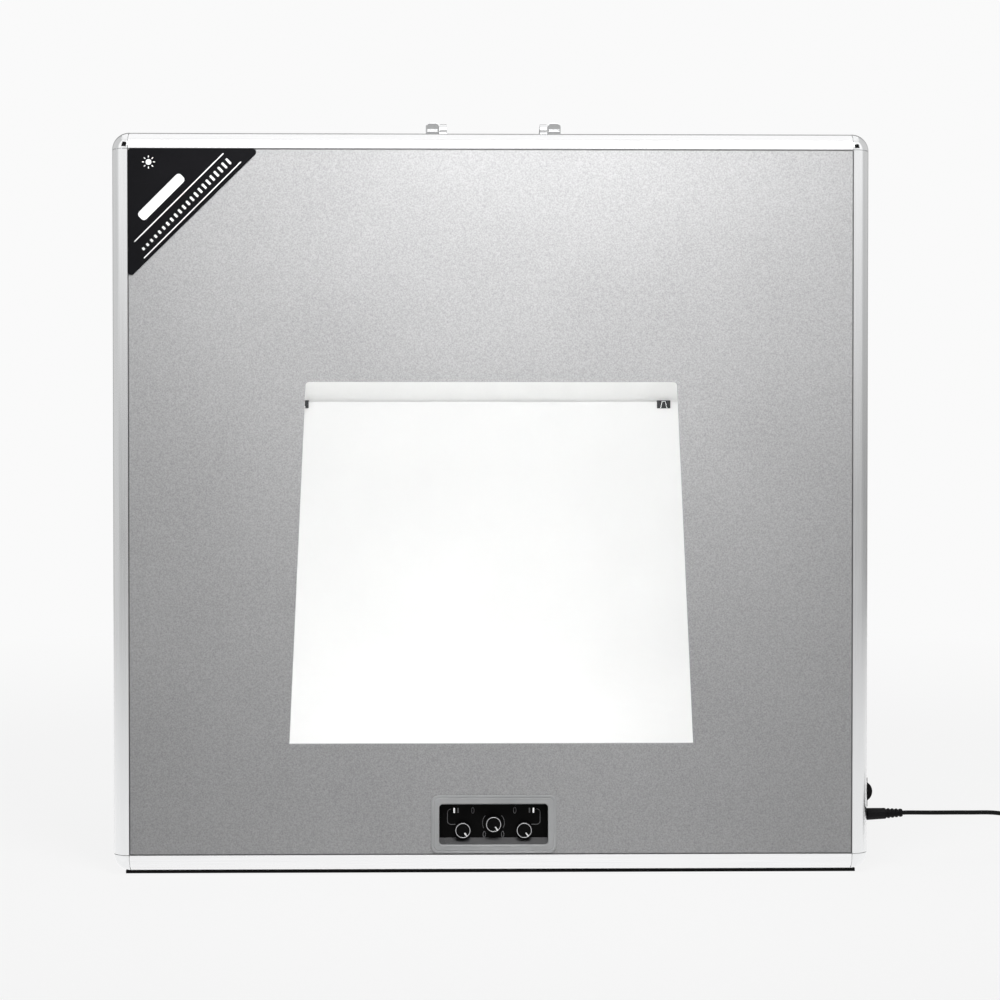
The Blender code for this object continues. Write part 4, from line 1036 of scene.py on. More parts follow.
@dataclass
class Camera:
    """The view that the photograph was taken from, fitted to the corners of the case and its window."""

    place: tuple[float, float, float] = (-0.0247, -2.1745, 0.3531)
    turn: float = 0.975
    nod: float = 0.881
    lens: float = 78.38
    sensor_width: float = 36.0

    def set_up(self) -> None:
        """Make the camera and have the scene look through it."""
        data = bpy.data.cameras.new("camera")
        data.lens = self.lens
        data.sensor_width = self.sensor_width
        camera = bpy.data.objects.new("camera", data)
        camera.location = self.place
        camera.rotation_euler = (math.radians(90 - self.nod), 0, math.radians(-self.turn))
        bpy.context.scene.collection.objects.link(camera)
        bpy.context.scene.camera = camera


@dataclass(frozen=True)
class Lamp:
    """One soft box of the studio, which lights the case but isn't mirrored in it."""

    name: str
    place: tuple[float, float, float]
    target: tuple[float, float, float]
    width: float
    height: float
    power: float


@dataclass(frozen=True)
class Card:
    """One flat card, dark or bright, that only bright metal sees."""

    name: str
    place: tuple[float, float, float]
    target: tuple[float, float, float]
    width: float
    height: float
    grey: float


@dataclass(frozen=True)
class Surround:
    """A round wall that only bright metal sees. It gets lighter with its height, and darker to the back."""

    radius: float = 3.2
    height: float = 4.6
    rise_from: float = 0.30
    rise_over: float = 0.8
    front: Point = (0.455, 1.12)
    left: Point = (0.66, 0.68)
    right: Point = (0.37, 0.70)
    side_from: float = -1.25
    side_over: float = 0.4
    left_from: float = 0.6
    left_over: float = 0.8
    rear_from: float = 1.9
    rear_over: float = 0.9
    rear_grey: float = 0.30
    lift: float = 0.02
    facets: int = 96


@dataclass
class Studio:
    """A plain pale floor, soft light from above the front, and dim walls round a white set."""

    ground: float = 0.74
    background: float = 0.955
    ambient: float = 0.05
    floor_reach: float = 9.0
    floor_roughness: float = 0.9
    floor_mirror: float = 0.1
    floor_glow: float = 0.92
    fade_from: float = 0.9
    fade_over: float = 1.6
    mirror_near: float = 1.07
    mirror_fall: float = 0.145
    mirror_range: Point = (0.45, 1.05)
    lamps: tuple[Lamp, ...] = (
        Lamp("top_front_box", (0.05, -0.85, 1.08), (0.0, -0.30, 0.99), 0.36, 1.10, 14.0),
        Lamp("left_box", (-2.0, -0.6, 1.0), (0.0, 0.0, 0.35), 0.7, 1.3, 0.2),
        Lamp("right_box", (2.1, -0.6, 1.0), (0.0, 0.0, 0.35), 0.7, 1.3, 0.7),
        Lamp("rear_box", (0.0, 2.2, 1.5), (0.0, 0.1, 0.3), 1.8, 1.0, 30.0),
    )
    surround: Surround = field(default_factory=Surround)
    cards: tuple[Card, ...] = (
        Card("high_card", (0.0, -2.8, 1.15), (0.0, 0.0, 1.15), 0.9, 0.45, 0.45),
        Card("left_card", (-0.513, -0.565, 0.857), (-0.32, -0.30, 0.63), 0.22, 0.22, 0.01),
        Card("right_card", (0.518, -0.575, 0.836), (0.32, -0.30, 0.63), 0.22, 0.18, 0.01),
        Card("top_card", (0.03, -0.70, 1.05), (0.02, -0.30, 0.60), 0.84, 0.30, 4.0),
        Card("ceiling_card", (0.0, 0.3, 2.4), (0.0, 0.0, 0.63), 2.6, 2.0, 1.08),
    )

    def set_up(self) -> None:
        """Set the view, the floor, the lamps, the cards and the background."""
        bpy.context.scene.view_settings.view_transform = "Standard"
        self.lay_floor()
        self.light_background()
        for lamp in self.lamps:
            self.hang(lamp)
        self.wall_in()
        for card in self.cards:
            self.stand(card)

    def lay_floor(self) -> None:
        """A floor that takes shadows near the case and shows as the background further away."""
        Bench.clear()
        bpy.ops.mesh.primitive_plane_add(size=2 * self.floor_reach, location=(0, 0, 0))
        floor = Bench.named(bpy.context.object, "studio_floor")
        made = bpy.data.materials.new("studio_floor_paint")
        made.use_nodes = True
        graph = Graph(made.node_tree)
        shader = made.node_tree.nodes["Principled BSDF"]
        shader.inputs["Base Color"].default_value = (self.ground,) * 3 + (1.0,)
        shader.inputs["Roughness"].default_value = self.floor_roughness
        shader.inputs["Specular IOR Level"].default_value = self.floor_mirror
        path = graph.node("ShaderNodeLightPath")
        seen, mirrored = (Value(graph, path.outputs[f"Is {kind} Ray"]) for kind in ("Camera", "Glossy"))
        across, along, _ = graph.axes(graph.place())
        away = graph.maths("SQRT", across * across + along * along)
        far = ((away - self.fade_from) / self.fade_over).kept()
        share = (seen * (self.floor_glow + far * (1 - self.floor_glow)) + mirrored).kept()
        darkest, lightest = self.mirror_range
        mirror_grey = graph.maths("MAXIMUM", self.mirror_near - away * self.mirror_fall, darkest)
        mirror_grey = graph.maths("MINIMUM", mirror_grey, lightest)
        grey = self.background + mirrored * (mirror_grey - self.background)
        glow = graph.node("ShaderNodeEmission", {}, {"Color": grey})
        mixed = graph.node("ShaderNodeMixShader", {}, {0: share, 1: shader.outputs[0], 2: glow.outputs[0]})
        output = made.node_tree.nodes["Material Output"]
        graph.plug(mixed.outputs[0], output.inputs["Surface"])
        floor.data.materials.append(made)

    def light_background(self) -> None:
        """A pale world that lights softly and shows white."""
        world = bpy.data.worlds.new("studio_air")
        world.use_nodes = True
        bpy.context.scene.world = world
        graph = Graph(world.node_tree)
        path = graph.node("ShaderNodeLightPath")
        seen = (Value(graph, path.outputs["Is Camera Ray"]) + Value(graph, path.outputs["Is Glossy Ray"])
                + Value(graph, path.outputs["Is Transmission Ray"])).kept()
        strength = self.ambient + seen * (self.background - self.ambient)
        background = world.node_tree.nodes["Background"]
        background.inputs["Color"].default_value = (1.0, 1.0, 1.0, 1.0)
        graph.plug(strength, background.inputs["Strength"])

    @staticmethod
    def hang(lamp: Lamp) -> None:
        """Hang one soft box and aim it.

        Args:
            lamp: The soft box.
        """
        data = bpy.data.lights.new(lamp.name, "AREA")
        data.shape = "RECTANGLE"
        data.size = lamp.width
        data.size_y = lamp.height
        data.energy = lamp.power
        box = bpy.data.objects.new(lamp.name, data)
        box.location = lamp.place
        box.rotation_mode = "QUATERNION"
        box.rotation_quaternion = (Vector(lamp.target) - Vector(lamp.place)).to_track_quat("-Z", "Y")
        box.visible_camera = False
        box.visible_glossy = False
        bpy.context.scene.collection.objects.link(box)

    def wall_in(self) -> None:
        """Put up the round wall, whose grey changes with its side and height."""
        wall = self.surround
        Bench.clear()
        bpy.ops.mesh.primitive_cylinder_add(vertices=wall.facets, radius=wall.radius, depth=wall.height,
                                            end_fill_type="NOTHING",
                                            location=(0, 0, wall.height / 2 + wall.lift))
        bpy.ops.object.transform_apply(location=True, rotation=True, scale=True)
        piece = Bench.named(bpy.context.object, "studio_wall")
        graph, glow = self.glowing(piece, 1.0)
        across, along, up = graph.axes(graph.place())
        beside = ((along - wall.side_from) / wall.side_over).kept()
        behind = ((along - wall.rear_from) / wall.rear_over).kept()
        leftward = ((across * -1.0 - wall.left_from) / wall.left_over).kept()
        risen = ((up - wall.rise_from) / wall.rise_over).kept()
        front, left, right = (low + risen * (high - low)
                              for low, high in (wall.front, wall.left, wall.right))
        side = right + leftward * (left - right)
        grey = front + beside * (side - front)
        graph.plug(grey + behind * (wall.rear_grey - grey), glow.inputs["Color"])

    def stand(self, card: Card) -> None:
        """Stand one card, facing its target.

        Args:
            card: The card.
        """
        Bench.clear()
        bpy.ops.mesh.primitive_plane_add(size=1, location=card.place)
        piece = Bench.named(bpy.context.object, card.name)
        piece.scale = (card.width, card.height, 1)
        piece.rotation_euler = (Vector(card.target) - Vector(card.place)).to_track_quat("Z", "Y").to_euler()
        bpy.ops.object.transform_apply(location=True, rotation=True, scale=True)
        self.glowing(piece, card.grey)

    @staticmethod
    def glowing(piece: Piece, grey: float) -> tuple[Graph, bpy.types.Node]:
        """Give a wall or card an even glow, and show it to glossy rays alone.

        Args:
            piece: The wall or card.
            grey: How bright it is.

        Returns:
            The material's nodes, and the one that glows.
        """
        made = bpy.data.materials.new(f"{piece.name}_glow")
        made.use_nodes = True
        graph = Graph(made.node_tree)
        glow = graph.node("ShaderNodeEmission", {}, {"Color": (grey,) * 3 + (1.0,)})
        graph.plug(glow.outputs[0], made.node_tree.nodes["Material Output"].inputs["Surface"])
        piece.data.materials.append(made)
        piece.visible_camera = False
        piece.visible_diffuse = False
        piece.visible_shadow = False
        return graph, glow


# The supply lead ----------------------------------------------------------------------------------------


@dataclass
class SupplyLead(SubAssembly):
    """The lead from its plug in the socket to the adapter: down to the floor, and wound into a neat coil."""

    radius: float = 1.9 * MM
    coil_x: float = 0.590
    turn_radius: float = 21.2 * MM
    pitch: float = 4.4 * MM
    layer_height: float = 4.3 * MM
    layer_turns: int = 4
    climb_turns: float = 0.5
    exit_turns: float = 3.75
    loop_points: int = 32
    floor_gap: float = 0.3 * MM
    route_step: float = 6.0 * MM
    plug_tilt: float = 2.0
    plug_gap: float = 0.6 * MM
    plug_length: float = 32.0 * MM
    barrel_length: float = 10.0 * MM
    barrel_radius: float = 2.6 * MM
    body_length: float = 18.0 * MM
    body_radius: float = 5.25 * MM
    relief_radius: float = 4.4 * MM
    end_radius: float = 3.6 * MM
    ridges: int = 4
    ridge_height: float = 0.55 * MM
    flutes: int = 16
    flute_points: int = 6
    flute_depth: float = 0.28 * MM
    route_shares: tuple[Point, ...] = ((0.12, 1.0), (0.26, 1.0), (0.38, 0.985), (0.56, 0.80),
                                       (0.74, 0.34), (0.89, 0.05))
    gland_length: float = 8.0 * MM
    gland_profile: tuple[Point, ...] = ((0.0, 0.0), (3.0, 0.0), (3.4, 0.5), (3.0, 1.6), (3.0, 2.6),
                                        (3.7, 3.2), (3.7, 4.6), (3.3, 5.2), (3.3, 6.2), (4.0, 6.8),
                                        (4.0, 10.0), (0.0, 10.0))
    into_adapter: float = 12.0 * MM
    adapter_round: float = 3.0 * MM
    adapter_wall: float = 0.6 * MM
    adapter_seam: float = 0.5 * MM
    seam_depth: float = 1.0 * MM
    blade_length: float = 16.0 * MM
    blade_size: Point = (0.75 * MM, 3.1 * MM)
    blade_spacing: float = 6.35 * MM

    def build(self) -> None:
        socket_low, socket_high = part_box("supply_socket")
        exit_point = Vector((socket_high.x, (socket_low.y + socket_high.y) / 2,
                             (socket_low.z + socket_high.z) / 2))
        along = Vector((math.cos(math.radians(self.plug_tilt)), 0, math.sin(math.radians(self.plug_tilt))))
        adapter_low, adapter_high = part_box("mains_adapter")
        coil = self.coil_points(exit_point.y)
        route = self.route_points(exit_point, along, coil, adapter_low, adapter_high)
        lead = cord_curve("supply_lead", route, self.radius, 4)
        self.put(lead, SHEATH, Body.FRONT, ["power_lead", "lead_coil", "lead_tail"])
        plug = self.build_plug(exit_point, along)
        adapter = self.build_adapter(adapter_low, adapter_high)
        length = sum((b - a).length for a, b in zip(route, route[1:]))

    def coil_points(self, front_y: float) -> list[Vector]:
        """The coil's centre line: it spirals in on the floor and out again on top of itself.

        Args:
            front_y: The coil's front, where the lead meets it.

        Returns:
            The points, outside first.
        """
        reach = self.layer_turns / 2
        outer = self.turn_radius + self.pitch * reach
        centre = Vector((self.coil_x, front_y + outer, 0))
        turned_at = self.layer_turns + self.climb_turns / 2
        total = self.layer_turns + self.climb_turns + self.exit_turns
        places = []
        for i in range(round(total * self.loop_points) + 1):
            turns = i / self.loop_points
            radius = outer - self.pitch * (turned_at - abs(turns - turned_at))
            share = min(max((turns - self.layer_turns) / self.climb_turns, 0), 1)
            rise = share * share * (3 - 2 * share) * self.layer_height
            angle = math.tau * turns - math.pi / 2
            places.append(centre + Vector((radius * math.cos(angle), radius * math.sin(angle),
                                           self.radius + self.floor_gap + rise)))
        return places

    def route_points(self, start: Vector, along: Vector, coil: Sequence[Vector], adapter_low: Vector,
                     adapter_high: Vector) -> list[Vector]:
        """The whole centre line, from inside the plug to inside the adapter.

        Args:
            start: Where the lead leaves its socket.
            along: The plug's direction.
            coil: The coil's points.
            adapter_low: The adapter's lowest corner.
            adapter_high: The adapter's highest corner.

        Returns:
            The points.
        """
        straight = 2 * self.radius
        leaves = start + along * (self.plug_length + self.plug_gap)
        meets = coil[0] - Vector((straight, 0, 0))
        fall = [Vector((leaves.x + run * (meets.x - leaves.x), start.y,
                        meets.z + height * (leaves.z - meets.z))) for run, height in self.route_shares]
        first = self.eased([leaves, leaves + along * straight, *fall,
                            meets - Vector((straight, 0, 0)), meets], self.route_step)
        last = coil[-1]
        middle_z = (adapter_low.z + adapter_high.z) / 2
        stop = Vector((last.x, adapter_low.y, middle_z))
        lead_in = Vector((0, straight, 0))
        tail = self.eased([last + lead_in / 2, last + 1.5 * lead_in, (last + stop) / 2,
                           stop - lead_in, stop], self.route_step)
        ending = stop + Vector((0, self.gland_length + self.into_adapter, 0))
        return [start, *first, *coil, *tail, ending]

    @staticmethod
    def eased(points: Sequence[Vector], spacing: float) -> list[Vector]:
        """Even points on a smooth curve through the given ones, straight in its first and last stretch.

        Args:
            points: The points, of which the first and last two are straight.
            spacing: About how far apart the new ones are.

        Returns:
            The points.
        """
        fine = [points[0]]
        for before, here, after, beyond in zip(points, points[1:], points[2:], points[3:]):
            reach = (after - here).length
            leave, arrive = (after - before).normalized() * reach, (beyond - here).normalized() * reach
            count = max(2, round(reach / spacing))
            for k in range(count):
                t = k / count
                fine.append(here * (2 * t**3 - 3 * t**2 + 1) + leave * (t**3 - 2 * t**2 + t)
                            + after * (3 * t**2 - 2 * t**3) + arrive * (t**3 - t**2))
        return fine + list(points[-2:])

    def build_plug(self, start: Vector, along: Vector) -> Piece:
        """The plug: a fluted grip, a ridged strain relief that tapers to the lead, and its metal barrel.

        Args:
            start: Where the plug leaves the socket.
            along: Its direction.

        Returns:
            The plug.
        """
        end, body, groove = self.plug_length, self.body_length, self.flute_depth
        sections = [(-self.barrel_length, 0.0, 0.0), (-self.barrel_length, self.barrel_radius, 0.0),
                    (0.0, self.barrel_radius, 0.0),
                    (0.0, self.body_radius - 0.6 * MM, 0.0), (0.6 * MM, self.body_radius, 0.0),
                    (1.8 * MM, self.body_radius, 0.0), (2.6 * MM, self.body_radius, groove),
                    (body - 3.4 * MM, self.body_radius - 0.4 * MM, groove),
                    (body - 2.6 * MM, self.body_radius - 0.4 * MM, 0.0),
                    (body - 1.2 * MM, self.body_radius - 0.5 * MM, 0.0)]
        pitch = (end - body) / self.ridges
        for i in range(self.ridges):
            foot = body - 0.6 * MM + i * pitch
            radius = self.relief_radius + (self.end_radius - self.relief_radius) * i / (self.ridges - 1)
            valley = radius - self.ridge_height
            sections += [(foot, valley, 0.0), (foot + 0.30 * pitch, valley, 0.0),
                         (foot + 0.45 * pitch, radius, 0.0), (foot + 0.85 * pitch, radius - 0.05 * MM, 0.0)]
        sections += [(end - 0.2 * MM, self.end_radius - 0.5 * MM, 0.0), (end, self.radius + 0.2 * MM, 0.0),
                     (end - 0.3 * MM, 0.0, 0.0)]
        up = Vector((-along.z, 0, along.x))
        side = along.cross(up)
        count = self.flutes * self.flute_points
        rows = []
        for depth, radius, flute in sections:
            row = []
            for i in range(count + 1):
                angle = math.tau * i / count
                reach = max(0.0, radius - flute * (0.5 - 0.5 * math.cos(angle * self.flutes)))
                outward = up * math.cos(angle) + side * math.sin(angle)
                row.append(start + along * (depth + self.plug_gap) + outward * reach)
            rows.append(row)
        plug = Bench.smooth(Bench.settle(Bench.skin("supply_plug_body", rows)), 40)
        plug.data.materials.append(BLACK.material())
        plug.data.materials.append(CHROME.material())
        for face in plug.data.polygons:
            face.material_index = int((face.center - start).dot(along) < 0.5 * MM)
        return self.put(plug, BLACK, Body.FRONT, ["supply_plug"])

    def build_adapter(self, low: Vector, high: Vector) -> Piece:
        """The mains adapter: a rounded case with a seam, its gland and its two blades.

        Args:
            low: The adapter's lowest corner.
            high: Its highest corner.

        Returns:
            The adapter.
        """
        front, back = low.y + self.gland_length, high.y - self.blade_length
        middle, half = (low.x + high.x) / 2, (low.z + high.z) / 2
        case = Bench.block("mains_adapter_case", (low.x, front, low.z), (high.x, back, high.z),
                           self.adapter_round, 4)
        past, seam, wall = self.seam_depth, self.adapter_seam, self.adapter_wall
        groove = Bench.block("seam", (low.x - past, front - past, half - seam / 2),
                             (high.x + past, back + past, half + seam / 2))
        core = Bench.block("core", (low.x + wall, front + wall, low.z + past),
                           (high.x - wall, back - wall, high.z - past), self.adapter_round - 0.4 * MM, 4)
        Bench.carve(case, groove)
        profile = [(radius * MM, height * MM) for radius, height in self.gland_profile]
        neck = Bench.turned("neck", profile, (middle, low.y, half), (0, 1, 0), 24)
        thick, tall = self.blade_size
        blades = []
        for side in (-1, 1):
            x = middle + side * self.blade_spacing
            blades.append(Bench.block("blade", (x - thick, back - 2 * past, half - tall),
                                      (x + thick, high.y, half + tall), 0.6 * MM, 2))
        for part in (case, core, neck):
            part.data.materials.append(BLACK.material())
        for part in blades:
            part.data.materials.append(BLADE_METAL.material())
        adapter = Bench.smooth(Bench.joined("mains_adapter_case", [case, core, neck, *blades]), 35)
        return self.put(adapter, BLACK, Body.FRONT, ["mains_adapter"])


# The case -----------------------------------------------------------------------------------------------


@dataclass
class Shell(SubAssembly):
    """One shell of the case: its extruded rails, plated corners, rubber foot strip and flat panel."""

    body: Body
    radius: float = 15.0 * MM
    depth: float = 65.0 * MM
    corner_steps: int = 14
    rail_edge: float = 0.25 * MM
    corner_edge: float = 0.3 * MM
    rear_edge: float = 0.4 * MM
    # The width, corners and place of the dark strip of painted shadow round the panel's edge.
    seal: float = 0.7 * MM
    seal_corner: float = 0.6 * MM
    seal_inset: float = 0.05 * MM
    seal_depth: float = 0.2 * MM
    seal_height: float = 0.1 * MM
    foot_ribs: int = 7
    rib_height: float = 0.8 * MM
    rib_gap: float = 1.5 * MM
    rib_slope: float = 0.4 * MM

    @property
    def prefix(self) -> str:
        """What the shell's solids are named after."""
        return "front" if self.body is Body.FRONT else "rear"

    def build(self) -> None:
        """Make all of the shell's pieces."""
        for place in ("top", "bottom", "left", "right"):
            node = f"{self.prefix}_rail_{place}"
            rail = Bench.solid_copy(node, f"{node}_extrusion")
            Bench.eased(rail, self.rail_edge)
            upright = place in ("left", "right")
            self.put(rail, RAIL_UPRIGHT if upright else RAIL_ACROSS, self.body, [node])
        for level in ("top", "bottom"):
            for side in Side:
                self.build_corner(level, side)
        self.build_foot()
        self.build_panel()

    def build_panel(self) -> None:
        """The flat panel: laminate outside, and white inside like the rest of the tent."""
        node = f"{self.prefix}_panel"
        panel = Bench.solid_copy(node, f"{node}_board")
        inward = 1 if self.body is Body.FRONT else -1
        for finish in (LAMINATE, BOARDING):
            panel.data.materials.append(finish.material())
        for face in panel.data.polygons:
            face.material_index = int(face.normal.y * inward > 0.5)
        self.put(panel, LAMINATE, self.body, [node])
        # A thin dark strip over the panel's face along its edge: painted shadow in the gap between the panel
        # and the rails.
        low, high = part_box(node)
        centre = ((low.x + high.x) / 2, (low.z + high.z) / 2)
        width, height = high.x - low.x - 2 * self.seal_inset, high.z - low.z - 2 * self.seal_inset
        outer = rounded(centre, width, height, self.seal_corner, 3)
        inner = rounded(centre, width - 2 * self.seal, height - 2 * self.seal, self.seal_corner, 3)
        face_y = low.y if inward > 0 else high.y
        under, over = face_y + inward * self.seal_depth, face_y - inward * self.seal_height
        rows = [facing(outline, y) for outline, y in ((outer, under), (outer, over), (inner, over),
                                                      (inner, under), (outer, under))]
        seal = Bench.settle(Bench.skin(f"{self.prefix}_edge_seal", [[*row, row[0]] for row in rows]))
        self.put(Bench.smooth(seal, 35), GAP_SHADE_PAINT, self.body)

    def build_corner(self, level: str, side: Side) -> None:
        """A plated corner: an eighth of a ball that runs on into a quarter of a round bar.

        Args:
            level: "top" or "bottom".
            side: The side of the case.
        """
        node = f"{self.prefix}_corner_{level}_{side.word}"
        low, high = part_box(node)
        outward = Vector((side.value, 0, 0))
        up = Vector((0, 0, 1 if level == "top" else -1))
        back = Vector((0, 1 if self.body is Body.FRONT else -1, 0))
        face_y = low.y if self.body is Body.FRONT else high.y
        inner_x = low.x if side is Side.RIGHT else high.x
        inner_z = low.z if level == "top" else high.z
        heart = Vector((inner_x, face_y, inner_z))
        radius, steps = self.radius, self.corner_steps
        profile = arc((0, radius), radius, -90, 0, steps)
        profile += [(radius, self.depth - self.rear_edge), (radius - self.rear_edge, self.depth),
                    (0, self.depth)]
        piece = Bench.ring([heart + outward * r + back * d for r, d in profile], filled=True)
        axis = back * (-1 if outward.cross(up).dot(back) > 0 else 1)
        with Bench.editing(piece):
            bpy.ops.mesh.spin(steps=steps, dupli=False, angle=math.pi / 2, center=heart, axis=axis)
        Bench.settle(piece)
        Bench.smooth(Bench.soften(Bench.named(piece, f"{node}_casting"), self.corner_edge, 2, 60), 35)
        self.put(piece, CHROME, self.body, [node])

    def build_foot(self) -> None:
        """A rubber strip with long ribs underneath."""
        node = f"{self.prefix}_foot_strip"
        low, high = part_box(node)
        slope, gap, top = self.rib_slope, self.rib_gap, low.z + self.rib_height
        pitch = (high.y - low.y) / self.foot_ribs
        outline = [(low.y, high.z), (low.y, low.z + slope)]
        for i in range(self.foot_ribs):
            start, end = low.y + i * pitch, low.y + (i + 1) * pitch
            outline += [(start + slope, low.z), (end - gap, low.z)]
            if i < self.foot_ribs - 1:
                outline += [(end - gap + slope, top), (end - 0.1 * MM, top)]
        outline += [(high.y, low.z + slope), (high.y, high.z)]
        foot = Bench.drawn(f"{node}_ribbed", sideways(outline, low.x), (high.x - low.x, 0, 0))
        self.put(Bench.smooth(foot, 30), RUBBER, self.body, [node])


@dataclass
class CornerSign(SubAssembly):
    """The black corner sign: a vinyl triangle with two fine lines and a blank pill, all without words."""

    radius: float = 3.0 * MM
    raise_by: float = 0.12 * MM
    line_width: float = 0.9 * MM
    outer_line: tuple[Point, Point] = ((0.0138, 0.0941), (0.0969, 0.0115))
    inner_line: tuple[Point, Point] = ((0.0058, 0.0799), (0.0820, 0.0042))
    pill_middle: Point = (0.0288, 0.0416)
    pill_length: float = 50.8 * MM
    pill_width: float = 8.8 * MM
    scale_bars: int = 22
    bar_width: float = 2.0 * MM
    lowest_bar: float = 2.4 * MM
    highest_bar: float = 6.2 * MM
    sun_middle: Point = (0.0179, 0.0117)
    sun_radius: float = 2.5 * MM
    rays: int = 8
    ray: Point = (0.0038, 0.0056)
    ray_width: float = 0.9 * MM
    skin_edge: float = 0.18 * MM
    pill_corner: float = 3.0 * MM
    bar_corner: float = 0.3 * MM
    scale_span: Point = (0.03, 0.93)
    fillet_steps: int = 8

    def build(self) -> None:
        """Make the sign's skin and its print."""
        low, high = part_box("corner_label")
        tip = math.sqrt(2) * self.radius
        corners = [(low.x, high.z), (low.x, low.z - tip), (high.x + tip, high.z)]
        skin = Bench.drawn("corner_sign_vinyl", facing(self.fillet(corners), low.y), (0, high.y - low.y, 0))
        Bench.smooth(Bench.soften(skin, self.skin_edge, 2, 60), 35)
        self.put(skin, VINYL, Body.FRONT, ["corner_label"])
        corner = (low.x, high.z)
        parts = [self.bar("line", corner, *ends, self.line_width, self.line_width / 2 - 0.05 * MM, low.y)
                 for ends in (self.outer_line, self.inner_line)]
        across, down = self.pill_middle
        half = self.pill_length / 2 / math.sqrt(2)
        ends = ((across - half, down + half), (across + half, down - half))
        parts.append(self.bar("pill", corner, *ends, self.pill_width, self.pill_corner, low.y))
        parts += self.brightness_scale(corner, low.y)
        parts += self.sun(corner, low.y)
        self.put(Bench.joined("corner_sign_print", parts), WHITE_PRINT, Body.FRONT)

    def brightness_scale(self, corner: Point, y: float) -> list[Piece]:
        """Plain bars between the two lines, which grow in steps.

        Args:
            corner: The sign's corner, as (x, z).
            y: The sign's front.

        Returns:
            The bars.
        """
        start = (Vector(self.outer_line[0]) + Vector(self.inner_line[0])) / 2
        end = (Vector(self.outer_line[1]) + Vector(self.inner_line[1])) / 2
        up = Vector((-1, -1)).normalized()
        bars = []
        for i in range(self.scale_bars):
            share = i / (self.scale_bars - 1)
            middle = start.lerp(end, self.scale_span[0] + self.scale_span[1] * share)
            foot = middle - up * self.highest_bar / 2
            tall = self.lowest_bar + (self.highest_bar - self.lowest_bar) * share
            bars.append(self.bar("bar", corner, tuple(foot), tuple(foot + up * tall), self.bar_width,
                                 self.bar_corner, y))
        return bars

    def sun(self, corner: Point, y: float) -> list[Piece]:
        """A plain sign for brightness: a disc with eight rays.

        Args:
            corner: The sign's corner, as (x, z).
            y: The sign's front.

        Returns:
            The disc and its rays.
        """
        x, z = corner[0] + self.sun_middle[0], corner[1] - self.sun_middle[1]
        disc = arc((x, z), self.sun_radius, 0, 345, 23)
        parts = [Bench.drawn("disc", facing(disc, y - self.raise_by), (0, 2 * self.raise_by, 0))]
        for i in range(self.rays):
            turn = math.tau * i / self.rays
            way = Vector((math.cos(turn), math.sin(turn)))
            start, end = (Vector(self.sun_middle) + way * reach for reach in self.ray)
            parts.append(self.bar("ray", corner, tuple(start), tuple(end), self.ray_width,
                                  self.bar_corner, y))
        return parts

    def fillet(self, corners: Sequence[Point]) -> list[Point]:
        """The triangle with its corners rounded.

        Args:
            corners: The triangle's corners, in order.

        Returns:
            The rounded outline.
        """
        points: list[Point] = []
        for i, corner in enumerate(corners):
            here = Vector(corner)
            before = (Vector(corners[i - 1]) - here).normalized()
            after = (Vector(corners[(i + 1) % 3]) - here).normalized()
            half = before.angle(after) / 2
            centre = here + (before + after).normalized() * self.radius / math.sin(half)
            first = here + before * self.radius / math.tan(half) - centre
            last = here + after * self.radius / math.tan(half) - centre
            for k in range(self.fillet_steps + 1):
                points.append(tuple(centre + first.slerp(last, k / self.fillet_steps) * self.radius))
        return points

    def bar(self, name: str, corner: Point, start: Point, end: Point, width: float, radius: float,
            y: float) -> Piece:
        """A printed bar with round ends between two places, given right and down from the sign's corner.

        Args:
            name: The bar's name.
            corner: The sign's corner, as (x, z).
            start: Where the bar starts.
            end: Where it ends.
            width: Its width.
            radius: The radius of its ends.
            y: The sign's front.

        Returns:
            The bar.
        """
        first = Vector((corner[0] + start[0], corner[1] - start[1]))
        last = Vector((corner[0] + end[0], corner[1] - end[1]))
        along = (last - first).normalized()
        across = Vector((-along.y, along.x))
        middle, length = (first + last) / 2, (last - first).length
        outline = [tuple(middle + along * u + across * v)
                   for u, v in rounded((0, 0), length, width, radius, 5)]
        return Bench.drawn(name, facing(outline, y - self.raise_by), (0, 2 * self.raise_by, 0))


# The controls -------------------------------------------------------------------------------------------


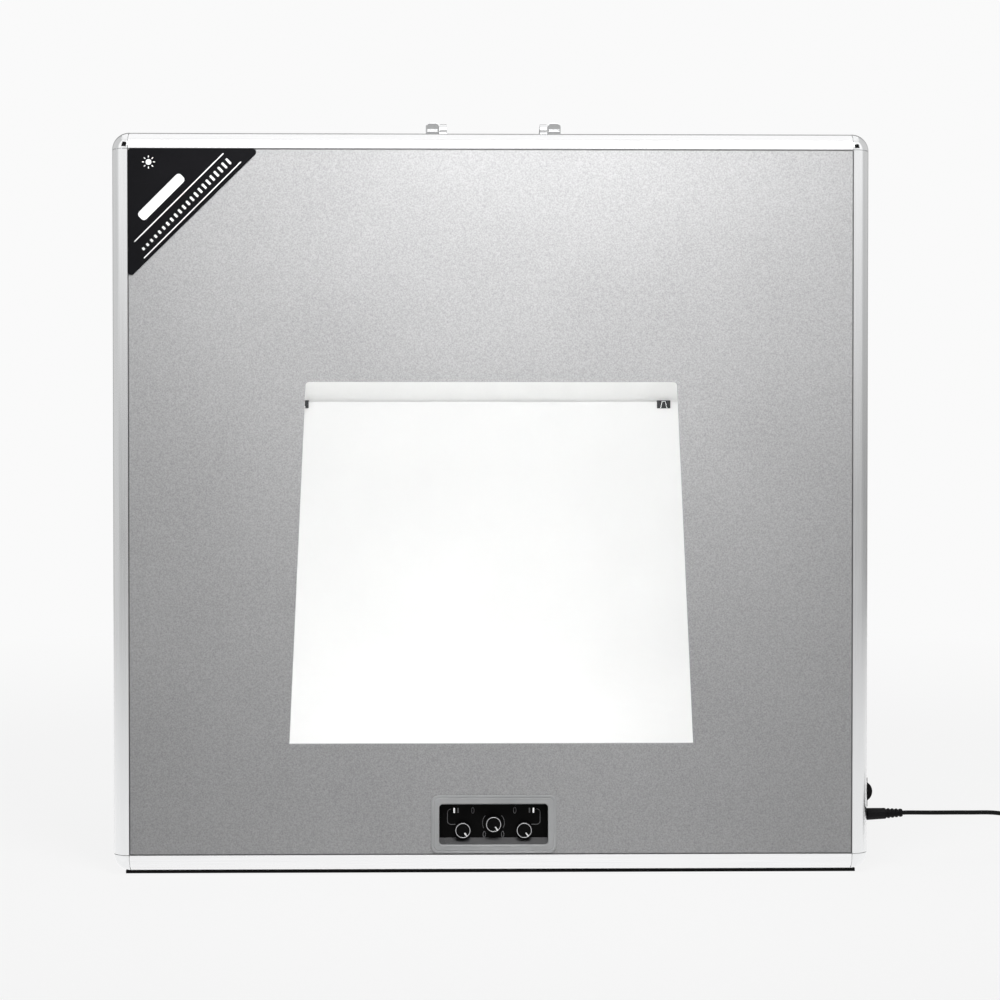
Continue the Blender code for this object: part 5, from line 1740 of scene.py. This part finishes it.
@dataclass
class ControlPanel(SubAssembly):
    """The dimmer panel: a stepped grey bezel, a black tray with its dial marks, and three knobs."""

    tray_floor: float = 11.0 * MM
    tray_edge: float = 0.2 * MM
    lip_reach: float = 2.0 * MM
    hole: Point = (94.0 * MM, 35.0 * MM)
    outer_steps: tuple[Step, ...] = ((0.0, 6.0, 0.35), (0.35, 5.7, 0.0), (1.7, 4.6, 0.0),
                                     (2.0, 4.4, 0.30), (2.5, 4.2, 0.30), (2.8, 4.0, 0.0))
    inner_steps: tuple[Step, ...] = ((2.4, 4.6, 0.0), (1.2, 4.0, -0.28), (0.9, 3.8, -0.28),
                                     (0.0, 3.0, 0.35))
    line: float = 0.33 * MM
    mark_lift: float = 0.8 * MM
    right_shift: float = 0.6 * MM
    bracket: tuple[float, ...] = (39.9 * MM, 33.0 * MM, 12.1 * MM, -1.3 * MM)
    bracket_hook: float = 3.2 * MM
    bracket_corner: float = 3.0 * MM
    noughts: tuple[Point, ...] = ((17.9 * MM, 10.9 * MM), (8.0 * MM, -10.0 * MM))
    dial_radius: float = 9.5 * MM
    dial_sweep: Point = (42.0, -28.0)
    dim_tick: Point = (30.7 * MM, 10.9 * MM)
    bright_tick: Point = (34.1 * MM, 10.9 * MM)
    tick_size: Point = (1.3 * MM, 4.4 * MM)
    digit_width: float = 2.2 * MM
    digit_height: float = 5.2 * MM
    digit_points: int = 20
    knob_length: float = 8.8 * MM
    knob_flutes: int = 24
    flute_points: int = 4
    knob_steps: tuple[Step, ...] = ((8.8, 1.0, 0.0), (8.2, 1.0, 0.35), (1.4, 0.965, 0.35),
                                    (0.9, 0.955, 0.0), (0.5, 0.945, 0.0), (0.5, 0.83, 0.0),
                                    (0.75, 0.81, 0.0), (0.75, 0.0, 0.0))
    shaft_radius: float = 2.4 * MM
    ring_profile: tuple[Point, ...] = ((0.975, 1.0), (0.972, 0.55), (0.957, 0.28), (0.930, 0.16),
                                       (0.905, 0.16), (0.878, 0.28), (0.863, 0.55), (0.86, 1.0))
    pointer_turn: float = -55.0
    pointer_middle: float = 4.4 * MM
    pointer_size: Point = (3.8 * MM, 1.2 * MM)

    def build(self) -> None:
        """Make the panel's pieces."""
        self.build_bezel()
        tray = Bench.solid_copy("control_tray", "control_tray_moulding")
        Bench.eased(tray, self.tray_edge)
        for finish in (TRAY_BLACK, SLOPE_PAINTED_LIGHT):
            tray.data.materials.append(finish.material())
        low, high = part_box("control_tray")
        # The upward-facing faces in the tray's lower half take the lighter grey copy: painted light from
        # above on the slope.
        for face in tray.data.polygons:
            inside = low.z + self.lip_reach < face.center.z < (low.z + high.z) / 2
            face.material_index = int(inside and face.normal.z > 0.2 and face.normal.y < 0.5)
        self.put(tray, TRAY_BLACK, Body.FRONT, ["control_tray"])
        self.build_marks()
        for name in ("left", "top", "right"):
            self.build_knob(name)
        self.dress_solid("dimmer_board", BOARD)
        self.dress_solid("electronics_cover", BLACK)
        self.dress_solid("wiring_loom", SHEATH)

    def build_bezel(self) -> None:
        """The bezel: a flange with a shallow groove round it and a raised lip at the recess."""
        low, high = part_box("control_bezel")
        centre = ((low.x + high.x) / 2, (low.z + high.z) / 2)
        width, height = high.x - low.x, high.z - low.z
        thick = (high.y - low.y) / MM
        outer = ((*self.outer_steps[0][:2], thick), *self.outer_steps)
        inner = (*self.inner_steps, (*self.inner_steps[-1][:2], thick))
        rows = []
        for wide, tall, grows, steps in ((width, height, -2 * MM, outer), (*self.hole, 2 * MM, inner)):
            for reach, radius, drop in steps:
                outline = rounded(centre, wide + grows * reach, tall + grows * reach, radius * MM)
                rows.append(facing(outline, low.y + drop * MM))
        rows.append(rows[0])
        bezel = Bench.skin("control_bezel_moulding", [[*row, row[0]] for row in rows])
        Bench.settle(bezel)
        self.put(Bench.smooth(bezel, 32), GREY, Body.FRONT, ["control_bezel"])

    def build_marks(self) -> None:
        """The dial marks on the tray's floor: brackets, arcs, zeros and two bright ticks."""
        x, z = middle = self.knob_centre("top")
        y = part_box("front_panel")[0].y - self.mark_lift + self.tray_floor
        corner = self.bracket_corner
        far, near, above, below = self.bracket
        dim, bright = [], []
        for side, shift in ((-1, 0.0), (1, self.right_shift)):
            outer, top, bottom = x + side * far + shift, z + above, z + below
            level = 0 if side > 0 else 180
            line = [(outer - side * self.bracket_hook, top)]
            line += arc((outer - side * corner, top - corner), corner, 90, level, 5)
            line += arc((outer - side * corner, bottom + corner), corner, level, level - side * 90, 5)
            line += [(x + side * near, bottom)]
            dim.append(Bench.traced("bracket", facing(line, y), self.line))
            for reach, height in self.noughts:
                dim.append(self.zero(x + side * reach + (shift if height > 0 else 0), z + height, y))
            sweep = [turn if side > 0 else 180 - turn for turn in self.dial_sweep]
            dim.append(Bench.traced("arc", facing(arc(middle, self.dial_radius, *sweep, 10), y), self.line))
            for ticks, (reach, height) in ((dim, self.dim_tick), (bright, self.bright_tick)):
                ticks.append(self.tick(x + side * reach + shift, z + height, y))
        self.put(Bench.joined("dial_marks_dim", dim), DIM_PRINT, Body.FRONT)
        # The bright ticks glow through their finish: painted light on white print.
        self.put(Bench.joined("dial_marks_bright", bright), TICK_PAINTED_GLOW, Body.FRONT)

    def zero(self, x: float, z: float, y: float) -> Piece:
        """A narrow nought.

        Args:
            x: Its middle.
            z: Its middle's height.
            y: The tray's floor.

        Returns:
            The nought.
        """
        turns = [math.tau * i / self.digit_points for i in range(self.digit_points)]
        half, tall = self.digit_width / 2, self.digit_height / 2
        points = [Vector((x + half * math.cos(a), y, z + tall * math.sin(a))) for a in turns]
        return Bench.traced("zero", points, self.line, closed=True)

    def tick(self, x: float, z: float, y: float) -> Piece:
        """A short upright tick.

        Args:
            x: Its middle.
            z: Its middle's height.
            y: The tray's floor.

        Returns:
            The tick.
        """
        outline = rounded((x, z), *self.tick_size, 0.5 * MM, 4)
        return Bench.drawn("tick", facing(outline, y - 0.12 * MM), (0, 0.2 * MM, 0))

    @staticmethod
    def knob_centre(name: str) -> Point:
        """The middle of a knob, as (x, z)."""
        low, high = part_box(f"dimmer_knob_{name}")
        return (low.x + high.x) / 2, (low.z + high.z) / 2

    def build_knob(self, name: str) -> None:
        """A knob: a fluted black skirt, a bright ring round its face and a white pointer.

        Args:
            name: The knob's place: "left", "top" or "right".
        """
        node = f"dimmer_knob_{name}"
        low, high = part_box(node)
        x, z = self.knob_centre(name)
        radius = (high.x - low.x) / 2
        count = self.knob_flutes * self.flute_points
        turns = [math.tau * i / count for i in range(count + 1)]
        rows = []
        for depth, share, flute in self.knob_steps:
            row = []
            for turn in turns:
                cut_in = flute * MM * (0.5 - 0.5 * math.cos(turn * self.knob_flutes))
                reach = radius * share - cut_in if share else 0.0
                row.append(Vector((x + reach * math.cos(turn), low.y + depth * MM,
                                   z + reach * math.sin(turn))))
            rows.append(row)
        shaft = [[Vector((x + self.shaft_radius * math.cos(turn), y, z + self.shaft_radius * math.sin(turn)))
                  for turn in turns] for y in (high.y, low.y + self.knob_length)]
        tip = [[Vector((x, high.y, z))] * len(turns)]
        grip = Bench.settle(Bench.skin(f"{node}_grip", tip + shaft + rows), 0.004 * MM)
        self.put(Bench.smooth(grip, 40), TRAY_BLACK, node, [node])
        circle = Bench.ring([Vector((x + radius * share, low.y + depth * MM, z))
                             for share, depth in self.ring_profile])
        with Bench.editing(circle, kind="VERT"):
            bpy.ops.mesh.spin(steps=48, dupli=False, angle=math.tau, center=(x, low.y, z), axis=(0, 1, 0))
        Bench.named(Bench.settle(circle), f"{node}_ring")
        self.put(Bench.smooth(circle, 50), KNOB_RING, node)
        angle = math.radians(self.pointer_turn)
        along = Vector((math.cos(angle), math.sin(angle)))
        across = Vector((-along.y, along.x))
        outline = [tuple(Vector((x, z)) + along * (u + self.pointer_middle) + across * v)
                   for u, v in rounded((0, 0), *self.pointer_size, 0.35 * MM, 4)]
        pointer = Bench.drawn(f"{node}_pointer", facing(outline, low.y + 0.05 * MM), (0, 1.0 * MM, 0))
        self.put(pointer, WHITE_PRINT, node)


@dataclass
class SideFittings(SubAssembly):
    """The power switch and the supply socket in the right side."""

    housing_edge: float = 0.25 * MM
    rocker_edge: float = 0.35 * MM
    socket_edge: float = 0.2 * MM

    def build(self) -> None:
        """Make the switch's housing, its rocker and the socket."""
        housing = Bench.solid_copy("switch_housing", "switch_housing_moulding")
        Bench.eased(housing, self.housing_edge)
        self.put(housing, BLACK, Body.FRONT, ["switch_housing"])
        rocker = Bench.solid_copy("power_rocker", "power_rocker_moulding")
        Bench.eased(rocker, self.rocker_edge, 3, 60.0)
        self.put(rocker, BLACK, Body.ROCKER, ["power_rocker"])
        socket = Bench.solid_copy("supply_socket", "supply_socket_moulding")
        Bench.eased(socket, self.socket_edge)
        self.put(socket, BLACK, Body.FRONT, ["supply_socket"])


# Light modules, leaves and cloth ------------------------------------------------------------------------


@dataclass
class LightModules(SubAssembly):
    """Three lamp boards on the front panel's inner face, each under an opal cover."""

    wall: float = 1.5 * MM
    outer_round: float = 3.0 * MM
    inner_round: float = 1.8 * MM
    lip_height: float = 3.0 * MM

    def build(self) -> None:
        """Make the covers and dress the boards."""
        for place in ("left", "right", "top"):
            node = f"diffuser_{place}"
            low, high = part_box(node)
            cover = Bench.block(f"{node}_cover", low, high, self.outer_round, 4)
            wall = Vector((self.wall,) * 3)
            hollow = Bench.block("hollow", Vector((low.x, low.y - 4 * MM, low.z)) + wall, high - wall,
                                 self.inner_round, 3)
            mouth = Bench.block("mouth", (low.x - MM, low.y - 5 * MM, low.z - MM),
                                (high.x + MM, low.y + self.lip_height, high.z + MM))
            Bench.carve(cover, hollow)
            Bench.carve(cover, mouth)
            lip = self.lip(low, high)
            whole = Bench.joined(f"{node}_cover", [cover, lip])
            self.put(Bench.smooth(whole, 35), OPAL, Body.FRONT, [node])
            self.dress_solid(f"led_board_{place}", LAMPS)

    def lip(self, low: Vector, high: Vector) -> Piece:
        """The straight wall that the rounded cover stands on.

        Args:
            low: The cover's lowest corner.
            high: Its highest corner.

        Returns:
            The wall.
        """
        centre = ((low.x + high.x) / 2, (low.z + high.z) / 2)
        width, height = high.x - low.x, high.z - low.z
        outer = rounded(centre, width, height, self.outer_round, 5)
        inner = rounded(centre, width - 2 * self.wall, height - 2 * self.wall, self.inner_round, 5)
        top = low.y + self.lip_height
        rows = [facing(outline, y) for outline, y in ((outer, top), (outer, low.y), (inner, low.y),
                                                      (inner, top), (outer, top))]
        return Bench.settle(Bench.skin("lip", [[*row, row[0]] for row in rows]))


@dataclass
class SideLeaves(SubAssembly):
    """The four white leaves, with the bright knuckles of their hinges."""

    knuckle_reach: float = 4.3 * MM
    board_edge: float = 0.3 * MM

    def build(self) -> None:
        """Make each leaf from its solid, and tell its knuckles from its board."""
        joints = [Vector(joint["pos_m"]) for joint in frame["joints"] if "leaf" in joint["name"]]
        rear = [Vector((side.value * abs(joints[0].x), -joints[0].y, 0)) for side in Side]
        axes = [Vector((joint.x, joint.y, 0)) for joint in joints] + rear
        for side in Side:
            for end in ("front", "rear"):
                node = f"{side.word}_{end}_leaf"
                leaf = Bench.solid_copy(node, f"{node}_board")
                leaf.data.materials.append(BOARDING.material())
                leaf.data.materials.append(RAIL_UPRIGHT.material())
                for face in leaf.data.polygons:
                    middle = Vector((face.center.x, face.center.y, 0))
                    near = min((middle - axis).length for axis in axes)
                    face.material_index = int(near < self.knuckle_reach)
                Bench.eased(leaf, self.board_edge)
                self.put(leaf, BOARDING, node, [node])


@dataclass
class ClothWork(SubAssembly):
    """The top sheet and the floor sheet between the shells, and the backdrop on its rail."""

    fold_joint: str = "left_front_leaf_fold"
    thickness: float = 0.8 * MM
    hem: float = 23.0 * MM
    bend: float = 3.0 * MM
    sag: float = 4.0 * MM
    ripple: float = 0.5 * MM
    columns: int = 44
    lines: int = 40
    gathered: float = 0.0004
    backdrop_gathered: float = 0.055
    half_cloth: float = 0.75 * MM
    sweep: float = 149.25 * MM
    backdrop_columns: int = 48
    wave: float = 1.1 * MM
    fine_wave: float = 0.5 * MM
    rail_edge: float = 0.25 * MM
    clip_edge: float = 0.3 * MM
    arm_radius: float = 0.5 * MM
    arm_reaches: tuple[float, ...] = (3.9 * MM, 3.3 * MM, 1.9 * MM)

    def build(self) -> None:
        """Make the three cloths and the backdrop's rail and clips."""
        self.build_sheet("top_sheet", -1)
        self.build_sheet("floor_sheet", 1)
        self.build_backdrop()
        rail = Bench.solid_copy("backdrop_rail", "backdrop_rail_extrusion")
        Bench.eased(rail, self.rail_edge)
        self.put(rail, WHITE_COAT, Body.REAR, ["backdrop_rail"])
        for side in Side:
            self.build_clip(side)

    def build_sheet(self, node: str, hem_way: int) -> None:
        """A sheet from rim to rim, with a turned-down or turned-up hem at each side.

        Args:
            node: The sheet's solid.
            hem_way: 1 where the hems turn up, -1 down.
        """
        low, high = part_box(node)
        surface = high.z - self.thickness / 2 if hem_way < 0 else low.z + self.thickness / 2
        edge = high.x - self.thickness / 2
        section = [(-edge, self.hem - self.thickness), (-edge, 0.5 * self.hem)]
        section += arc((-edge + self.bend, self.bend), self.bend, 180, 270, 6)
        half, count = edge - self.bend, self.columns
        section += [(-half + 2 * half * i / count, 0.0) for i in range(1, count)]
        section += arc((edge - self.bend, self.bend), self.bend, 270, 360, 6)
        section += [(edge, 0.5 * self.hem), (edge, self.hem - self.thickness)]
        rows = []
        for j in range(self.lines + 1):
            share = j / self.lines
            y = low.y + (high.y - low.y) * share
            row = []
            for x, away in section:
                inner = max(0.0, 1 - (x / half) ** 2) if abs(x) < half else 0.0
                end = math.sin(math.pi * share)
                droop = self.sag * inner * end ** 0.7 if hem_way < 0 else 0.0
                lift = 1 + math.sin(31 * x + 9 * y) * math.sin(17 * y - 6 * x)
                fall = max(0.0, droop + self.ripple * lift * inner * end)
                row.append(Vector((x, y, surface + hem_way * (away + fall))))
            rows.append(row)
        width = 2 * (edge + self.hem)
        length = high.y - low.y
        sheet = Bench.skin(f"{node}_cloth", rows, (width, length))
        self.finish_cloth(sheet, node, Body.FRONT, low.y, self.gathered)

    def finish_cloth(self, sheet: Piece, node: str, body: Body, anchor_y: float, keep: float) -> None:
        """Thicken a cloth and dress it.

        Args:
            sheet: The cloth.
            node: The solid that it replaces.
            body: The body that carries it.
            anchor_y: Meant as where it stays as the case folds; not used.
            keep: Meant as the share of its depth that is left when the case is folded; not used.
        """
        Bench.modify(sheet, "SOLIDIFY", thickness=self.thickness, offset=0.0, use_even_offset=True)
        Bench.smooth(sheet, 50, weigh=False)
        self.put(sheet, CLOTH, body, [node])
        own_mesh(sheet)

    def build_backdrop(self) -> None:
        """The backdrop: it hangs from the rail, sweeps forward in a wide curve and lies on the floor."""
        low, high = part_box("backdrop")
        half = high.x
        hang_y, floor_z = high.y - self.half_cloth, low.z + self.half_cloth
        centre = (hang_y - self.sweep, floor_z + self.sweep)
        line: list[Point] = [(hang_y, high.z - (high.z - centre[1]) * i / 16) for i in range(17)]
        line += arc(centre, self.sweep, 0, -90, 24)[1:]
        line += [(centre[0] - (centre[0] - low.y) * i / 20, floor_z) for i in range(1, 21)]
        length = sum(math.dist(a, b) for a, b in zip(line, line[1:]))
        rows, count = [], self.backdrop_columns
        for y, z in line:
            hanging = max(0.0, min(1.0, (z - 0.02) / 0.12)) * min(1.0, (high.z - z) / 0.05)
            row = []
            for i in range(count + 1):
                x = -half + 2 * half * i / count
                wave = self.wave * math.sin(23 * x + 4 * z) + self.fine_wave * math.sin(57 * x + 11 * z)
                row.append(Vector((x, y - max(0.0, hanging * (wave + 1.0 * MM)), z)))
            rows.append(row)
        width = 2 * half
        sheet = Bench.skin("backdrop_cloth", rows, (width, length))
        self.finish_cloth(sheet, "backdrop", Body.REAR, hang_y, self.backdrop_gathered)

    def build_clip(self, side: Side) -> None:
        """A black spring clip with its two bright wire arms.

        Args:
            side: The side of the backdrop.
        """
        node = f"backdrop_clip_{side.word}"
        clip = Bench.solid_copy(node, f"{node}_spring")
        Bench.eased(clip, self.clip_edge)
        self.put(clip, SPRING_STEEL, Body.REAR, [node])
        low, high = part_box(node)
        middle, y = (low.x + high.x) / 2, low.y - 0.1 * MM
        top, bottom = high.z - 1.2 * MM, low.z + 0.6 * MM
        heights = (bottom, bottom + 0.2 * MM, top)
        line = [(middle - reach, z) for reach, z in zip(self.arm_reaches, heights)]
        line += [(2 * middle - x, z) for x, z in reversed(line)]
        self.put(Bench.traced(f"{node}_arms", facing(line, y), self.arm_radius), CHROME, Body.REAR)


# Handle and latches -------------------------------------------------------------------------------------


@dataclass
class TopHardware(SubAssembly):
    """The carrying handle with its brackets, and the two latches."""

    cast_edge: float = 0.4 * MM
    pressed_edge: float = 0.3 * MM

    def build(self) -> None:
        """Make the brackets, the handle, the latch bases and their levers."""
        for side in Side:
            node = f"handle_bracket_{side.word}"
            bracket = Bench.solid_copy(node, f"{node}_casting")
            Bench.eased(bracket, self.cast_edge, 3)
            self.put(bracket, CHROME, Body.FRONT, [node])
            base, lever = f"latch_base_{side.word}", f"latch_lever_{side.word}"
            for name, body in ((base, Body.REAR), (lever, lever)):
                piece = Bench.solid_copy(name, f"{name}_pressing")
                Bench.eased(piece, self.pressed_edge)
                self.put(piece, CHROME, body, [name])
        handle = Bench.solid_copy("carry_handle", "carry_handle_bar")
        Bench.eased(handle, self.cast_edge)
        self.put(handle, CHROME, Body.HANDLE, ["carry_handle"])


def main() -> None:
    """Build the scene."""
    logging.basicConfig(level=logging.INFO, format="%(name)s: %(message)s")
    Camera().set_up()
    SupplyLead().build()
    Studio().set_up()
    for assembly in (Shell(Body.FRONT), Shell(Body.REAR), CornerSign(), ControlPanel(), SideFittings(),
                     LightModules(), SideLeaves(), ClothWork(), TopHardware()):
        LOG.info("building %s", type(assembly).__name__)
        assembly.build()
    Bench.clear()


if __name__ == "__main__":
    main()
